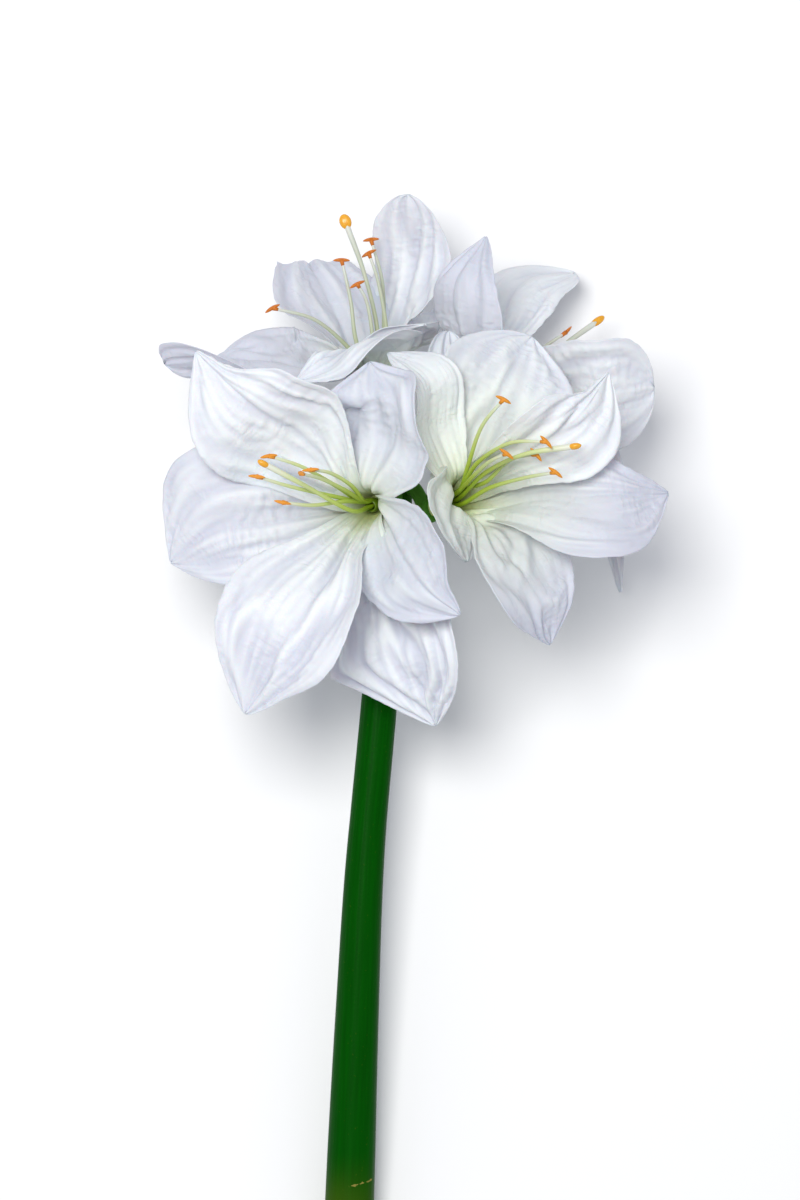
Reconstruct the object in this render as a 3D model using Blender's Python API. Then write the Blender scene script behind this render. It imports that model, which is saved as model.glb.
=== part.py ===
"""A cut amaryllis lying on a surface: one leafless scape with an umbel of four white blooms.

Everything is drawn in the flower's own frame, in millimetres. Its origin is the top of the scape,
+X is to the right, +Y runs along the stem toward the blooms and +Z is the side that shows. One empty
lays the whole flower down, so that the cut end of the scape and two back tepals touch the surface.
"""

import math
from dataclasses import dataclass

import bmesh
import bpy
import numpy as np
from mathutils import Matrix, Vector

MM = 0.001

# The lie of the flower: how far the umbel is raised about the cut end, the roll about the stem, and
# where the top of the scape then comes, in millimetres.
RAISE_DEG = 8.897
ROLL_DEG = -0.591
SCAPE_TOP = (-7.67, 116.2, 68.71)

# Clearance between solids that touch on the real flower.
GAP = 0.3

# Points that a smooth curve is read at between two of the points it runs through.
CURVE_STEPS = 24

# Scape: its line from the cut end to the umbel, its radius at those points, and the dome on top,
# given by the angles of its rings above the dome's centre.
SCAPE_LINE = ((-22, -370, 0), (-20, -312, 0), (-17, -238, 0), (-13.5, -170, 0), (-7, -97, 0), (0, -6, 0))
SCAPE_RADII = (11.4, 10.7, 9.45, 8.3, 8.0, 7.7)
SCAPE_ROWS = 12
SCAPE_SIDES = 16
DOME_RADIUS = 9.0
DOME_RINGS_DEG = (-24, 0, 26, 50, 70, 84)

# Pedicel and ovary: how far the pedicel runs straight as it leaves the dome (twice that where it
# meets the tube), and how far below the dome's centre it may head.
PEDICEL_RADIUS = 3.2
PEDICEL_STRAIGHT = 2.5
PEDICEL_DROP = 4.0
PEDICEL_ROWS = 9
PEDICEL_SIDES = 12
OVARY_RADIUS = 5.4
OVARY_LENGTH = 13.0

# Floral tube: the solid hub that the tepals spring from, and its radius from foot to top.
HUB_LENGTH = 10.0
HUB_RADII = (5.0, 4.8, 4.4)
HUB_SIDES = 12

# Tepals: the claw's half width at the root, which is added to the blade's, and the half width that
# is left at the tip.
TEPAL_THICKNESS = 1.0
TEPAL_ROWS = 10
TEPAL_COLUMNS = 6
CLAW_WIDTH = 4.6
TIP_WIDTH = 0.7

# The midrib's distance from the bloom's axis at three heights up the tube, in the inner whorl (the
# odd tepals) and in the outer whorl that wraps it.
TUBE_HEIGHTS = (2.0, 13.0, 26.0)
INNER_WHORL = (3.0, 4.9, 10.5)
OUTER_WHORL = (4.3, 6.5, 12.5)

# Half the turn about the axis, in radians, that one tepal may take up in the tube and beyond it.
WHORL_SHARE = (1.0, 1.4)

# Stamens: the collar that they share, the heights above it that every filament passes, and sizes.
COLLAR_INNER = 1.6
COLLAR_OUTER = 3.2
COLLAR_LENGTH = 6.0
COLLAR_SIDES = 12
FILAMENT_HEIGHTS = (3.0, 12.0)
FILAMENT_RADII = (1.15, 1.1, 0.95, 0.75)
FILAMENT_ROWS = 7
FILAMENT_SIDES = 6
ANTHER_SIZE = (7.2, 1.7, 2.0)

# Pistil: the height that the style rises straight up the tube, and sizes.
STYLE_RISE = 8.0
STYLE_RADII = (1.15, 1.1, 1.05, 1.2)
STYLE_ROWS = 12
STYLE_SIDES = 8
STIGMA_SIZE = (5.5, 4.0, 3.0)
STIGMA_SEAT = 1.2

WHITE = ((0.80, 0.82, 0.86), 0.6)
GREEN = ((0.004, 0.090, 0.002), 0.4)
LEAF_GREEN = ((0.020, 0.140, 0.008), 0.45)
FILAMENT_GREEN = ((0.52, 0.62, 0.22), 0.5)


@dataclass(frozen=True)
class Tepal:
    """One tepal. Lengths are in millimetres and angles in degrees.

    blade holds the midrib's points beyond the funnel, the last of them the tip. left and right scale
    the half width at 30, 50, 70 and 90 % of the length. cup bends the cross-section and roll turns it
    about the midrib, each near the funnel, past the middle and at the tip. ruffle is the height of the
    edge's waves, their number, and where they start on the left and on the right.
    """

    blade: tuple
    half_width: float
    widest: float = 0.62
    blunt: float = 0.85
    cup: tuple = (45, 15, 5)
    roll: tuple = (0, 0, 0)
    left: tuple = (1, 1, 1, 1)
    right: tuple = (1, 1, 1, 1)
    ruffle: tuple = (1.5, 1.5, 0.2, 0.5)


@dataclass(frozen=True)
class Bloom:
    """One bloom: the foot of its tube, its axis, the turn of its first tepal, and its pieces.

    The tepals' roots are 60 degrees apart about the axis, counted from the direction called front.
    A stamen is a pair: its filament's points and the direction in which its anther lies across it.
    """

    name: str
    foot: tuple
    axis: tuple
    front: tuple
    first_root_deg: float
    tepals: tuple
    stamens: tuple
    style: tuple


BLOOMS = (
    Bloom(
        name="front_left",
        foot=(-4, -7, 23),
        axis=(-0.42, -0.22, 0.88),
        front=(0, 1, 0),
        first_root_deg=331,
        tepals=(
            Tepal(((-4, 18, 54), (-5, 36, 60), (-11, 52, 48)), 27, cup=(45, 10, 0), roll=(0, -14, -12),
                  left=(1, 1, 1.05, 1.5), right=(1.35, 0.9, 0.72, 0.75), ruffle=(2, 1.5, 0.3, 0.2)),
            Tepal(((-41, 18, 48), (-66, 34, 62), (-86, 56, 58)), 32, cup=(50, 20, 0), roll=(0, 5, 10),
                  left=(1, 1, 1, 0.95), right=(1, 1, 0.8, 0.28), ruffle=(3, 1.5, 0.1, 0.4)),
            Tepal(((-46, -15, 40), (-76, -19, 42), (-99, -35, 28)), 36, widest=0.66, cup=(36, 2, 2), roll=(0, 7, 7),
                  left=(0.9, 0.8, 0.78, 0.85), ruffle=(2, 2, 0.2, 0.6)),
            Tepal(((-29, -41, 60), (-50, -73, 68), (-65, -101, 56)), 33, widest=0.6, blunt=0.75,
                  cup=(45, 22, 15), left=(0.4, 0.76, 0.88, 0.6), right=(1.15, 1.15, 1.06, 1),
                  ruffle=(1.5, 1.5, 0.5, 0.1)),
            Tepal(((-5, -43, 38), (6, -76, 44), (18, -107, 30)), 27, cup=(40, 14, 5),
                  left=(1, 1, 0.95, 0.9), right=(1, 1.1, 1.45, 1.25), ruffle=(2, 1.5, 0, 0.5)),
            Tepal(((1, -28, 62), (13, -47, 72), (28, -58, 70)), 24, cup=(45, 10, 0),
                  left=(1.1, 1.05, 1, 0.5), right=(0.9, 0.9, 0.9, 0.9), ruffle=(2.5, 1.5, 0.2, 0.7)),
        ),
        stamens=(
            (((-26, -2, 60), (-41, 6, 70), (-54, 10, 76)), (1, 0.15, 0)),
            (((-26, -7, 62), (-45, -3, 74), (-59, 1, 82)), (1, -0.1, 0.2)),
            (((-22, -9, 58), (-36, -11, 70), (-48, -10, 78)), (1, -0.2, 0)),
            (((-22, -4, 64), (-31, 0, 76), (-40, 2, 90)), (0.3, -0.2, 0.9)),
            (((-19, -2, 60), (-28, 3, 70), (-36, 4, 78)), (1, 0.1, 0)),
        ),
        style=((-19, -13, 60), (-38, -3, 75), (-55, 6, 82)),
    ),
    Bloom(
        name="front_right",
        foot=(18, -11, 16),
        axis=(0.55, 0.22, 0.80),
        front=(0, 1, 0),
        first_root_deg=358,
        tepals=(
            Tepal(((39, 23, 28), (49, 46, 26), (61, 66, 8)), 28, blunt=0.7, cup=(35, 5, 5),
                  roll=(-12, -20, -15), left=(0.7, 0.95, 1.05, 1), right=(0.9, 1.1, 1.25, 1.3),
                  ruffle=(2.5, 2, 0.2, 0.5)),
            Tepal(((17, 23, 42), (15, 44, 47), (-3, 57, 34)), 24, cup=(45, 20, 5),
                  left=(0.9, 0.6, 0.5, 0.5), right=(0.5, 0.65, 0.7, 0.8)),
            Tepal(((29, -10, 45), (30, -23, 56), (36, -40, 60)), 20, widest=0.6, blunt=0.6,
                  cup=(35, 15, 10), left=(0.7, 0.85, 1, 1), right=(1.4, 1.35, 1, 0.9),
                  ruffle=(1, 1.5, 0.2, 0.5)),
            Tepal(((49, -29, 50), (62, -52, 54), (68, -71, 40)), 25, widest=0.6, cup=(45, 18, 10),
                  right=(0.6, 0.9, 0.95, 0.6), ruffle=(2, 1.5, 0.6, 0.1)),
            Tepal(((62, -7, 44), (93, -8, 52), (120, -5, 38)), 27, widest=0.66, cup=(40, 10, 5),
                  left=(0.9, 0.85, 0.8, 0.6), right=(1, 1, 1.03, 1.03), ruffle=(1.5, 2, 0.2, 0.5)),
            Tepal(((53, 10, 56), (76, 24, 64), (93, 47, 52)), 28, cup=(50, 22, 5),
                  left=(0.9, 0.85, 0.72, 0.2), right=(0.6, 0.78, 0.95, 1.05), ruffle=(2, 1.5, 0.2, 0.5)),
        ),
        stamens=(
            (((32, 7, 44), (38, 24, 56), (47, 35, 64)), (0.88, -0.45, 0)),
            (((36, 8, 51), (50, 16, 67), (65, 16, 78)), (0.67, -0.74, 0)),
            (((35, 3, 54), (41, 8, 66), (48, 11, 76)), (0.8, -0.6, 0)),
            (((40, 0, 47), (50, 9, 60), (61, 11, 69)), (0.64, -0.77, 0)),
            (((41, -3, 50), (56, 1, 64), (69, 3, 76)), (0.8, -0.6, 0)),
        ),
        style=((40, 4, 55), (56, 11, 70), (76, 14, 76)),
    ),
    Bloom(
        name="back_left",
        foot=(-4, 29, -6),
        axis=(-0.20, 0.97, -0.10),
        front=(0, 0, 1),
        first_root_deg=46,
        tepals=(
            Tepal(((3, 60, 10), (7, 67, 20), (13, 70, 29)), 22, widest=0.6, cup=(50, 30, 20),
                  ruffle=(1, 1.5, 0.1, 0.5)),
            Tepal(((0, 72, -30), (8, 103, -35), (6, 133, -20)), 18, widest=0.68, blunt=0.55,
                  left=(1.1, 1.2, 1, 1.25), right=(1, 1.1, 1.15, 1), ruffle=(1.5, 1.5, 0.1, 0.5)),
            Tepal(((3, 66, -44), (8, 81, -66), (2, 76, -78)), 22, widest=0.6, ruffle=(1.5, 1.5, 0.1, 0.5)),
            Tepal(((-25, 76, -30), (-36, 99, -42), (-41, 106, -62), (-44, 97, -84)), 27, widest=0.5,
                  blunt=0.6, cup=(45, 10, -10), left=(2.1, 1.3, 0.7, 0.6), right=(1.1, 1, 0.8, 0.8),
                  ruffle=(0.6, 1.5, 0.1, 0.5)),
            Tepal(((-40, 53, 8), (-71, 56, 14), (-99, 54, 11), (-104, 48, 1)), 22, widest=0.5, blunt=0.45,
                  roll=(-35, -50, -40), left=(1.4, 1.1, 0.85, 0.9), right=(1.2, 1.1, 0.95, 1),
                  ruffle=(1.5, 1.5, 0.1, 0.5)),
            Tepal(((-17, 59, 19), (-28, 57, 31), (-43, 45, 35)), 28, widest=0.55, cup=(45, 0, -20),
                  left=(1.3, 1.3, 1.2, 0.8), right=(1, 0.9, 0.6, 0.35), ruffle=(1.5, 1.5, 0.1, 0.5)),
        ),
        stamens=(
            (((-17, 63, 2), (-20, 83, 4), (-24, 101, 4)), (1, 0, 0)),
            (((-10, 67, 2), (-13, 83, 4), (-17, 90, 6)), (0.9, 0.44, 0)),
            (((-4, 70, -9), (-8, 94, -14), (-12, 106, -16)), (0.88, 0.46, 0)),
            (((-5, 71, -12), (-6, 94, -20), (-11, 113, -24)), (1, 0.13, 0)),
            (((-19, 60, -5), (-36, 74, 4), (-55, 79, 8)), (0.86, 0.5, 0)),
        ),
        style=((-8, 70, -5), (-14, 96, -7), (-22, 118, -6)),
    ),
    Bloom(
        name="back_right",
        foot=(25, 25, -12),
        axis=(0.66, 0.52, -0.54),
        front=(0, 0, 1),
        first_root_deg=45,
        tepals=(
            Tepal(((71, 41, -12), (96, 40, 0), (117, 44, -6)), 25, widest=0.66, blunt=0.45,
                  cup=(45, 0, -15), left=(1, 1.1, 1.2, 1.1), right=(1, 1, 1.15, 1.3),
                  ruffle=(1, 1.5, 0.1, 0.5)),
            Tepal(((76, 22, -30), (94, -6, -38), (104, -48, -40)), 22, widest=0.55,
                  left=(1, 1, 0.8, 0.5), right=(1, 1, 0.9, 0.8), ruffle=(1, 1.5, 0.1, 0.5)),
            Tepal(((59, 42, -52), (79, 43, -63), (97, 34, -61)), 24, widest=0.6, ruffle=(1, 1.5, 0.1, 0.5)),
            Tepal(((50, 73, -42), (62, 93, -56), (84, 102, -70)), 30, widest=0.66, blunt=0.45,
                  cup=(40, 15, 5), roll=(0, 40, 40), left=(0.5, 0.5, 0.6, 0.6), right=(0.9, 1, 0.9, 1),
                  ruffle=(1, 1.5, 0.1, 0.5)),
            Tepal(((31, 70, -2), (31, 92, 4), (41, 112, -4)), 20, widest=0.55, cup=(45, 25, 10),
                  right=(1.2, 1.15, 1.15, 1), ruffle=(1, 1.5, 0.1, 0.5)),
            Tepal(((32, 46, 2), (25, 57, 8), (24, 69, 2)), 14, widest=0.6, blunt=0.6, cup=(40, 0, -20),
                  roll=(0, 20, 30), ruffle=(0.5, 1.5, 0.1, 0.5)),
        ),
        stamens=(
            (((56, 55, -27), (69, 65, -37), (79, 72, -44)), (0.7, 0.7, 0)),
            (((59, 50, -26), (69, 58, -32), (76, 65, -38)), (0.9, 0.4, 0)),
            (((60, 44, -36), (72, 50, -48), (85, 57, -58)), (0.5, -0.8, 0)),
            (((55, 52, -40), (66, 60, -54), (77, 65, -66)), (0.6, 0.2, 0.7)),
            (((58, 47, -40), (70, 52, -54), (82, 55, -66)), (0.4, -0.8, 0.3)),
        ),
        style=((61, 51, -32), (78, 66, -44), (93, 77, -50)),
    ),
)


def unit(vectors):
    """Return the vectors at length one."""
    vectors = np.asarray(vectors, float)
    return vectors / np.linalg.norm(vectors, axis=-1, keepdims=True)


def smooth_line(points, count):
    """Return count points, evenly spaced, along a smooth curve through the given points.

    The curve is a centripetal Catmull-Rom spline: each span blends the parabolas through its
    neighbours, with knots spaced by the square root of the chord, so it never overshoots.
    """
    points = np.asarray(points, float)
    points = np.vstack([2 * points[0] - points[1], points, 2 * points[-1] - points[-2]])
    spans = []
    for i in range(1, len(points) - 2):
        p0, p1, p2, p3 = points[i - 1:i + 3]
        t0 = 0.0
        t1 = t0 + math.sqrt(np.linalg.norm(p1 - p0))
        t2 = t1 + math.sqrt(np.linalg.norm(p2 - p1))
        t3 = t2 + math.sqrt(np.linalg.norm(p3 - p2))
        t = np.linspace(t1, t2, CURVE_STEPS, endpoint=False)[:, None]
        a1 = (t1 - t) / (t1 - t0) * p0 + (t - t0) / (t1 - t0) * p1
        a2 = (t2 - t) / (t2 - t1) * p1 + (t - t1) / (t2 - t1) * p2
        a3 = (t3 - t) / (t3 - t2) * p2 + (t - t2) / (t3 - t2) * p3
        b1 = (t2 - t) / (t2 - t0) * a1 + (t - t0) / (t2 - t0) * a2
        b2 = (t3 - t) / (t3 - t1) * a2 + (t - t1) / (t3 - t1) * a3
        spans.append((t2 - t) / (t2 - t1) * b1 + (t - t1) / (t2 - t1) * b2)
    fine = np.vstack(spans + [points[-2][None]])
    run = np.concatenate([[0], np.cumsum(np.linalg.norm(np.diff(fine, axis=0), axis=1))])
    wanted = np.linspace(0, run[-1], count)
    return np.stack([np.interp(wanted, run, fine[:, k]) for k in range(3)], axis=1)


def eased(stations, values, s):
    """Return the value at s, eased from each station's value to the next with a smooth step."""
    stations = np.asarray(stations, float)
    values = np.asarray(values, float)
    i = np.clip(np.searchsorted(stations, s, side="right") - 1, 0, len(stations) - 2)
    f = np.clip((s - stations[i]) / (stations[i + 1] - stations[i]), 0, 1)
    f = f * f * (3 - 2 * f)
    return values[i] + (values[i + 1] - values[i]) * f


def bloom_axes(bloom):
    """Return the bloom's foot, axis, and the two directions square to it, front first."""
    foot = np.array(bloom.foot, float)
    axis = unit(bloom.axis)
    front = np.array(bloom.front, float)
    front = unit(front - (front @ axis) * axis)
    return foot, axis, front, np.cross(axis, front)


def tepal_grid(bloom, index):
    """Return the tepal's middle surface as a grid of points, rows from root to tip.

    The midrib leaves the tube at its own root angle and runs through the blade's points. Across it
    each side is an arc of the cup angle, as long as the half width, and the edge is ruffled. In the
    tube the arc runs round the bloom's axis, and beyond the funnel it takes the tepal's own cup. The
    half width is a power of a sine that peaks at widest, scaled on each side, on a narrow claw; near
    the axis it is held under the arc that a whorl of three leaves to each side of a tepal.
    """
    tepal = bloom.tepals[index]
    foot, axis, front, side = bloom_axes(bloom)
    turn = math.radians(bloom.first_root_deg + 60 * index)
    root = math.cos(turn) * front + math.sin(turn) * side
    reach = np.array(tepal.blade[0], float) - foot
    outward = unit(reach - (reach @ axis) * axis)
    near, middle, far = INNER_WHORL if index % 2 else OUTER_WHORL
    low, half, high = TUBE_HEIGHTS
    knots = [foot + low * axis + near * root,
             foot + half * axis + middle * root,
             foot + high * axis + far * unit(0.6 * root + 0.4 * outward)]
    line = smooth_line(knots + [np.array(p, float) for p in tepal.blade], TEPAL_ROWS + 1)
    s = np.linspace(0, 1, TEPAL_ROWS + 1)

    along = unit(np.gradient(line, axis=0))
    f = np.clip((s - 0.1) / 0.4, 0, 1)
    f = (f * f * (3 - 2 * f))[:, None]
    across = np.cross(axis, unit(root * (1 - f) + outward * f))
    across = unit(across - np.sum(along * across, axis=1, keepdims=True) * along)
    inward = np.cross(along, across)
    roll = np.radians(eased((0, 0.2, 0.6, 1), (0,) + tepal.roll, s))[:, None]
    across, inward = (across * np.cos(roll) + inward * np.sin(roll),
                      inward * np.cos(roll) - across * np.sin(roll))

    t = np.linspace(-1, 1, TEPAL_COLUMNS + 1)[None]
    v = np.abs(t)
    stations = (0.1, 0.3, 0.5, 0.7, 0.9, 1.0)
    left = eased(stations, (1,) + tepal.left + tepal.left[-1:], s)[:, None]
    right = eased(stations, (1,) + tepal.right + tepal.right[-1:], s)[:, None]
    form = np.sin(np.pi * s ** (math.log(0.5) / math.log(tepal.widest))) ** tepal.blunt
    claw = CLAW_WIDTH * (1 - s) ** 3 + TIP_WIDTH
    width = tepal.half_width * form[:, None] * np.where(t > 0, left, right) + claw[:, None]
    off_axis = np.linalg.norm(np.cross(line - foot, axis), axis=1)[:, None]
    share = eased((0, 0.2, 0.5, 1), WHORL_SHARE[:1] + WHORL_SHARE + WHORL_SHARE[1:], s)[:, None]
    width = width / (1 + (width / (share * off_axis)) ** 4) ** 0.25

    f = np.clip(s / 0.26, 0, 1)[:, None]
    f = f * f * (3 - 2 * f)
    own_cup = np.radians(eased((0, 0.22, 0.6, 1), tepal.cup[:1] + tepal.cup, s))[:, None]
    cup = (1 - f) * width / off_axis + f * own_cup
    cup = np.where(np.abs(cup) < 0.001, 0.001, cup)
    height, waves, left_start, right_start = tepal.ruffle
    phase = waves * s[:, None] + np.where(t > 0, left_start, right_start)
    ruffle = height * v ** 2.2 * np.sin(np.pi * s ** 0.8)[:, None] * np.sin(2 * np.pi * phase)
    sideways = np.sign(t) * width * np.sin(cup * v) / cup
    lift = width * (1 - np.cos(cup * v)) / cup + ruffle
    return line[:, None] + sideways[..., None] * across[:, None] + lift[..., None] * inward[:, None]


def link(name, data, parent=None):
    """Put a new object into the scene and return it."""
    thing = bpy.data.objects.new(name, data)
    thing.parent = parent
    bpy.context.scene.collection.objects.link(thing)
    return thing


def mesh_of(thing):
    """Return the object's evaluated mesh as a new mesh, and remove the object."""
    graph = bpy.context.evaluated_depsgraph_get()
    mesh = bpy.data.meshes.new_from_object(thing.evaluated_get(graph))
    bpy.data.objects.remove(thing)
    return mesh


def grid_sheet(grid):
    """Return a mesh of triangles over a grid of points."""
    rows, columns = grid.shape[:2]
    faces = []
    for i in range(rows - 1):
        for j in range(columns - 1):
            a = i * columns + j
            b = a + columns
            faces += [(a, a + 1, b + 1), (a, b + 1, b)]
    mesh = bpy.data.meshes.new("sheet")
    mesh.from_pydata((grid.reshape(-1, 3) * MM).tolist(), [], faces)
    return mesh


def tube(points, radii, sides):
    """Return a closed tube along the points, its radius eased through the radii."""
    curve = bpy.data.curves.new("tube", "CURVE")
    curve.dimensions = "3D"
    curve.bevel_depth = MM
    curve.bevel_resolution = (sides - 4) // 2
    curve.use_fill_caps = True
    spline = curve.splines.new("POLY")
    spline.points.add(len(points) - 1)
    stations = np.linspace(0, 1, len(radii))
    for k, point in enumerate(points):
        spline.points[k].co = (*(np.asarray(point) * MM), 1)
        spline.points[k].radius = float(np.interp(k / (len(points) - 1), stations, radii))
    mesh = mesh_of(link("tube", curve))
    shape = bmesh.new()
    shape.from_mesh(mesh)
    bmesh.ops.remove_doubles(shape, verts=shape.verts, dist=0.001 * MM)
    shape.to_mesh(mesh)
    shape.free()
    return mesh


def blob(centre, long_axis, flat_axis, size, sides, bands):
    """Return an ellipsoid of the given full size, its length along long_axis."""
    long_axis = unit(long_axis)
    flat_axis = np.asarray(flat_axis, float)
    flat_axis = unit(flat_axis - (flat_axis @ long_axis) * long_axis)
    third = np.cross(flat_axis, long_axis)
    turn = Matrix([flat_axis, third, long_axis]).transposed().to_4x4()
    scale = Matrix.Diagonal((size[1] * MM / 2, size[2] * MM / 2, size[0] * MM / 2, 1))
    shape = bmesh.new()
    bmesh.ops.create_uvsphere(shape, u_segments=sides, v_segments=bands, radius=1,
                              matrix=Matrix.Translation(Vector(centre) * MM) @ turn @ scale)
    mesh = bpy.data.meshes.new("blob")
    shape.to_mesh(mesh)
    shape.free()
    return mesh


def fused(first, others):
    """Return one mesh: the union of the first closed mesh with all the others."""
    group = bpy.data.collections.new("operands")
    bpy.context.scene.collection.children.link(group)
    for mesh in others:
        group.objects.link(bpy.data.objects.new("operand", mesh))
    body = link("body", first)
    union = body.modifiers.new("union", "BOOLEAN")
    union.operation = "UNION"
    union.operand_type = "COLLECTION"
    union.collection = group
    union.solver = "EXACT"
    mesh = mesh_of(body)
    for operand in list(group.objects):
        bpy.data.objects.remove(operand)
    bpy.data.collections.remove(group)
    keep_largest_shell(mesh)
    return mesh


def keep_largest_shell(mesh):
    """Keep the mesh's largest shell, so that slivers of air closed in between blades are filled."""
    shape = bmesh.new()
    shape.from_mesh(mesh)
    left = set(shape.verts)
    shells = []
    while left:
        shell = set()
        edge = {next(iter(left))}
        while edge:
            shell |= edge
            edge = {e.other_vert(v) for v in edge for e in v.link_edges} - shell
        shells.append(shell)
        left -= shell
    shells.sort(key=len)
    for shell in shells[:-1]:
        bmesh.ops.delete(shape, geom=list(shell), context="VERTS")
    shape.to_mesh(mesh)
    shape.free()


def material(name, finish):
    """Return a Principled material with the finish's colour and roughness."""
    made = bpy.data.materials.new(name)
    made.use_nodes = True
    shader = made.node_tree.nodes["Principled BSDF"]
    shader.inputs["Base Color"].default_value = (*finish[0], 1)
    shader.inputs["Roughness"].default_value = finish[1]
    shader.inputs["Metallic"].default_value = 0
    return made


def node(name, mesh, finish, parent):
    """Add the mesh as the named part of the flower, with its own material."""
    mesh.name = name
    mesh.materials.clear()
    mesh.materials.append(material(name, finish))
    mesh.shade_smooth()
    return link(name, mesh, parent)


def scape(parent):
    """The leafless stem: a tapering, slightly bent rod with a flat cut end and a domed top."""
    line = smooth_line(SCAPE_LINE, SCAPE_ROWS)
    radii = list(np.interp(np.linspace(0, 1, SCAPE_ROWS), np.linspace(0, 1, len(SCAPE_RADII)), SCAPE_RADII))
    for degrees in DOME_RINGS_DEG:
        turn = math.radians(degrees)
        line = np.vstack([line, [0, DOME_RADIUS * math.sin(turn), 0]])
        radii.append(DOME_RADIUS * math.cos(turn))
    node("scape", tube(line, radii, SCAPE_SIDES), GREEN, parent)


def pedicel(bloom, parent):
    """The short stalk under one bloom, swelling into the ovary just below the floral tube.

    It leaves the dome and meets the tube square to them, so that its ends sit flat.
    """
    foot, axis, _, _ = bloom_axes(bloom)
    away = unit((foot[0], max(foot[1], -PEDICEL_DROP), foot[2]))
    start = (DOME_RADIUS + GAP) * away
    end = foot - GAP * axis
    leave = start + PEDICEL_STRAIGHT * away
    meet = end - 2 * PEDICEL_STRAIGHT * axis
    knots = [start, leave, 0.5 * (leave + meet), meet, end]
    line = smooth_line(knots, PEDICEL_ROWS)
    line[1] = start + np.linalg.norm(line[1] - start) * away
    line[-2] = end - np.linalg.norm(end - line[-2]) * axis
    length = np.linalg.norm(np.diff(line, axis=0), axis=1).sum()
    swell = np.clip(1 - (1 - np.linspace(0, 1, PEDICEL_ROWS)) * length / OVARY_LENGTH, 0, 1)
    radii = PEDICEL_RADIUS + (OVARY_RADIUS - PEDICEL_RADIUS) * np.sin(0.58 * math.pi * swell) ** 1.5
    node(bloom.name + "_pedicel", tube(line, radii, PEDICEL_SIDES), LEAF_GREEN, parent)


def perianth(bloom, parent):
    """Six tepals on one tube, fused: each a thin curved blade that springs from the solid hub."""
    foot, axis, _, _ = bloom_axes(bloom)
    hub = tube([foot, foot + 0.5 * HUB_LENGTH * axis, foot + HUB_LENGTH * axis], HUB_RADII, HUB_SIDES)
    blades = []
    for index in range(len(bloom.tepals)):
        sheet = link("blade", grid_sheet(tepal_grid(bloom, index)))
        solid = sheet.modifiers.new("thickness", "SOLIDIFY")
        solid.thickness = TEPAL_THICKNESS * MM
        solid.offset = 0
        blades.append(mesh_of(sheet))
    node(bloom.name + "_perianth", fused(hub, blades), WHITE, parent)


def filament_line(bloom, points):
    """Return a filament's line: up out of the collar on its own side, then through its points."""
    foot, axis, _, _ = bloom_axes(bloom)
    reach = np.array(points[0], float) - foot
    outward = unit(reach - (reach @ axis) * axis)
    collar = foot + (HUB_LENGTH + GAP) * axis
    middle = 0.5 * (COLLAR_INNER + COLLAR_OUTER)
    low, high = FILAMENT_HEIGHTS
    knots = [collar + low * axis + middle * outward, collar + high * axis + (middle + 1) * outward]
    return smooth_line(knots + [np.array(p, float) for p in points], FILAMENT_ROWS)


def stamens(bloom, parent):
    """Five filaments on a collar ring, each with an anther lying across its tip."""
    foot, axis, front, side = bloom_axes(bloom)
    shape = bmesh.new()
    rings = []
    for radius in (COLLAR_INNER, COLLAR_OUTER):
        for height in (HUB_LENGTH + GAP, HUB_LENGTH + GAP + COLLAR_LENGTH):
            ring = []
            for k in range(COLLAR_SIDES):
                turn = 2 * math.pi * k / COLLAR_SIDES
                point = foot + height * axis + radius * (math.cos(turn) * front + math.sin(turn) * side)
                ring.append(shape.verts.new(point * MM))
            rings.append(ring)
    inner_low, inner_high, outer_low, outer_high = rings
    for low, high in ((outer_low, outer_high), (outer_high, inner_high), (inner_high, inner_low),
                      (inner_low, outer_low)):
        for k in range(COLLAR_SIDES):
            n = (k + 1) % COLLAR_SIDES
            shape.faces.new((low[k], low[n], high[n], high[k]))
    collar = bpy.data.meshes.new("collar")
    shape.to_mesh(collar)
    shape.free()
    pieces = []
    for points, bar in bloom.stamens:
        line = filament_line(bloom, points)
        pieces.append(tube(line, FILAMENT_RADII, FILAMENT_SIDES))
        pieces.append(blob(line[-1], bar, line[-1] - line[-2], ANTHER_SIZE, 6, 4))
    node(bloom.name + "_stamens", fused(collar, pieces), FILAMENT_GREEN, parent)


def pistil(bloom, parent):
    """The style, standing free in the collar, with its rounded stigma."""
    foot, axis, front, _ = bloom_axes(bloom)
    start = foot + (HUB_LENGTH + GAP) * axis
    knots = [start, start + STYLE_RISE * axis] + [np.array(p, float) for p in bloom.style]
    line = smooth_line(knots, STYLE_ROWS)
    tip = line[-1] + STIGMA_SEAT * unit(line[-1] - line[-2])
    stigma = blob(tip, line[-1] - line[-2], front, STIGMA_SIZE, 8, 5)
    style = tube(line, STYLE_RADII, STYLE_SIDES)
    node(bloom.name + "_pistil", fused(style, [stigma]), FILAMENT_GREEN, parent)


def main():
    """Build the whole flower and lay it down."""
    for thing in list(bpy.data.objects):
        bpy.data.objects.remove(thing)
    lying = link("lying_flower", None)
    lying.rotation_euler = (math.radians(RAISE_DEG), math.radians(ROLL_DEG), 0)
    lying.location = Vector(SCAPE_TOP) * MM
    scape(lying)
    for bloom in BLOOMS:
        pedicel(bloom, lying)
        perianth(bloom, lying)
        stamens(bloom, lying)
        pistil(bloom, lying)


main()
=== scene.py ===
"""The looks of a cut amaryllis that lies on a pale surface, seen from above.

Shapes are worked out in the flower's own frame, in millimetres: its origin is the top of the scape, +X
is to the right, +Y runs along the stem toward the blooms and +Z is the side that shows. A Lie then
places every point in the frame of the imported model, in metres. The flower looks made, not grown, so its
materials are those of a made one: pressed cloth, moulded plastic and paint.
"""

import logging
import math
from dataclasses import dataclass
from enum import Enum

import bpy
import numpy as np
from mathutils import Matrix, Vector


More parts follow.
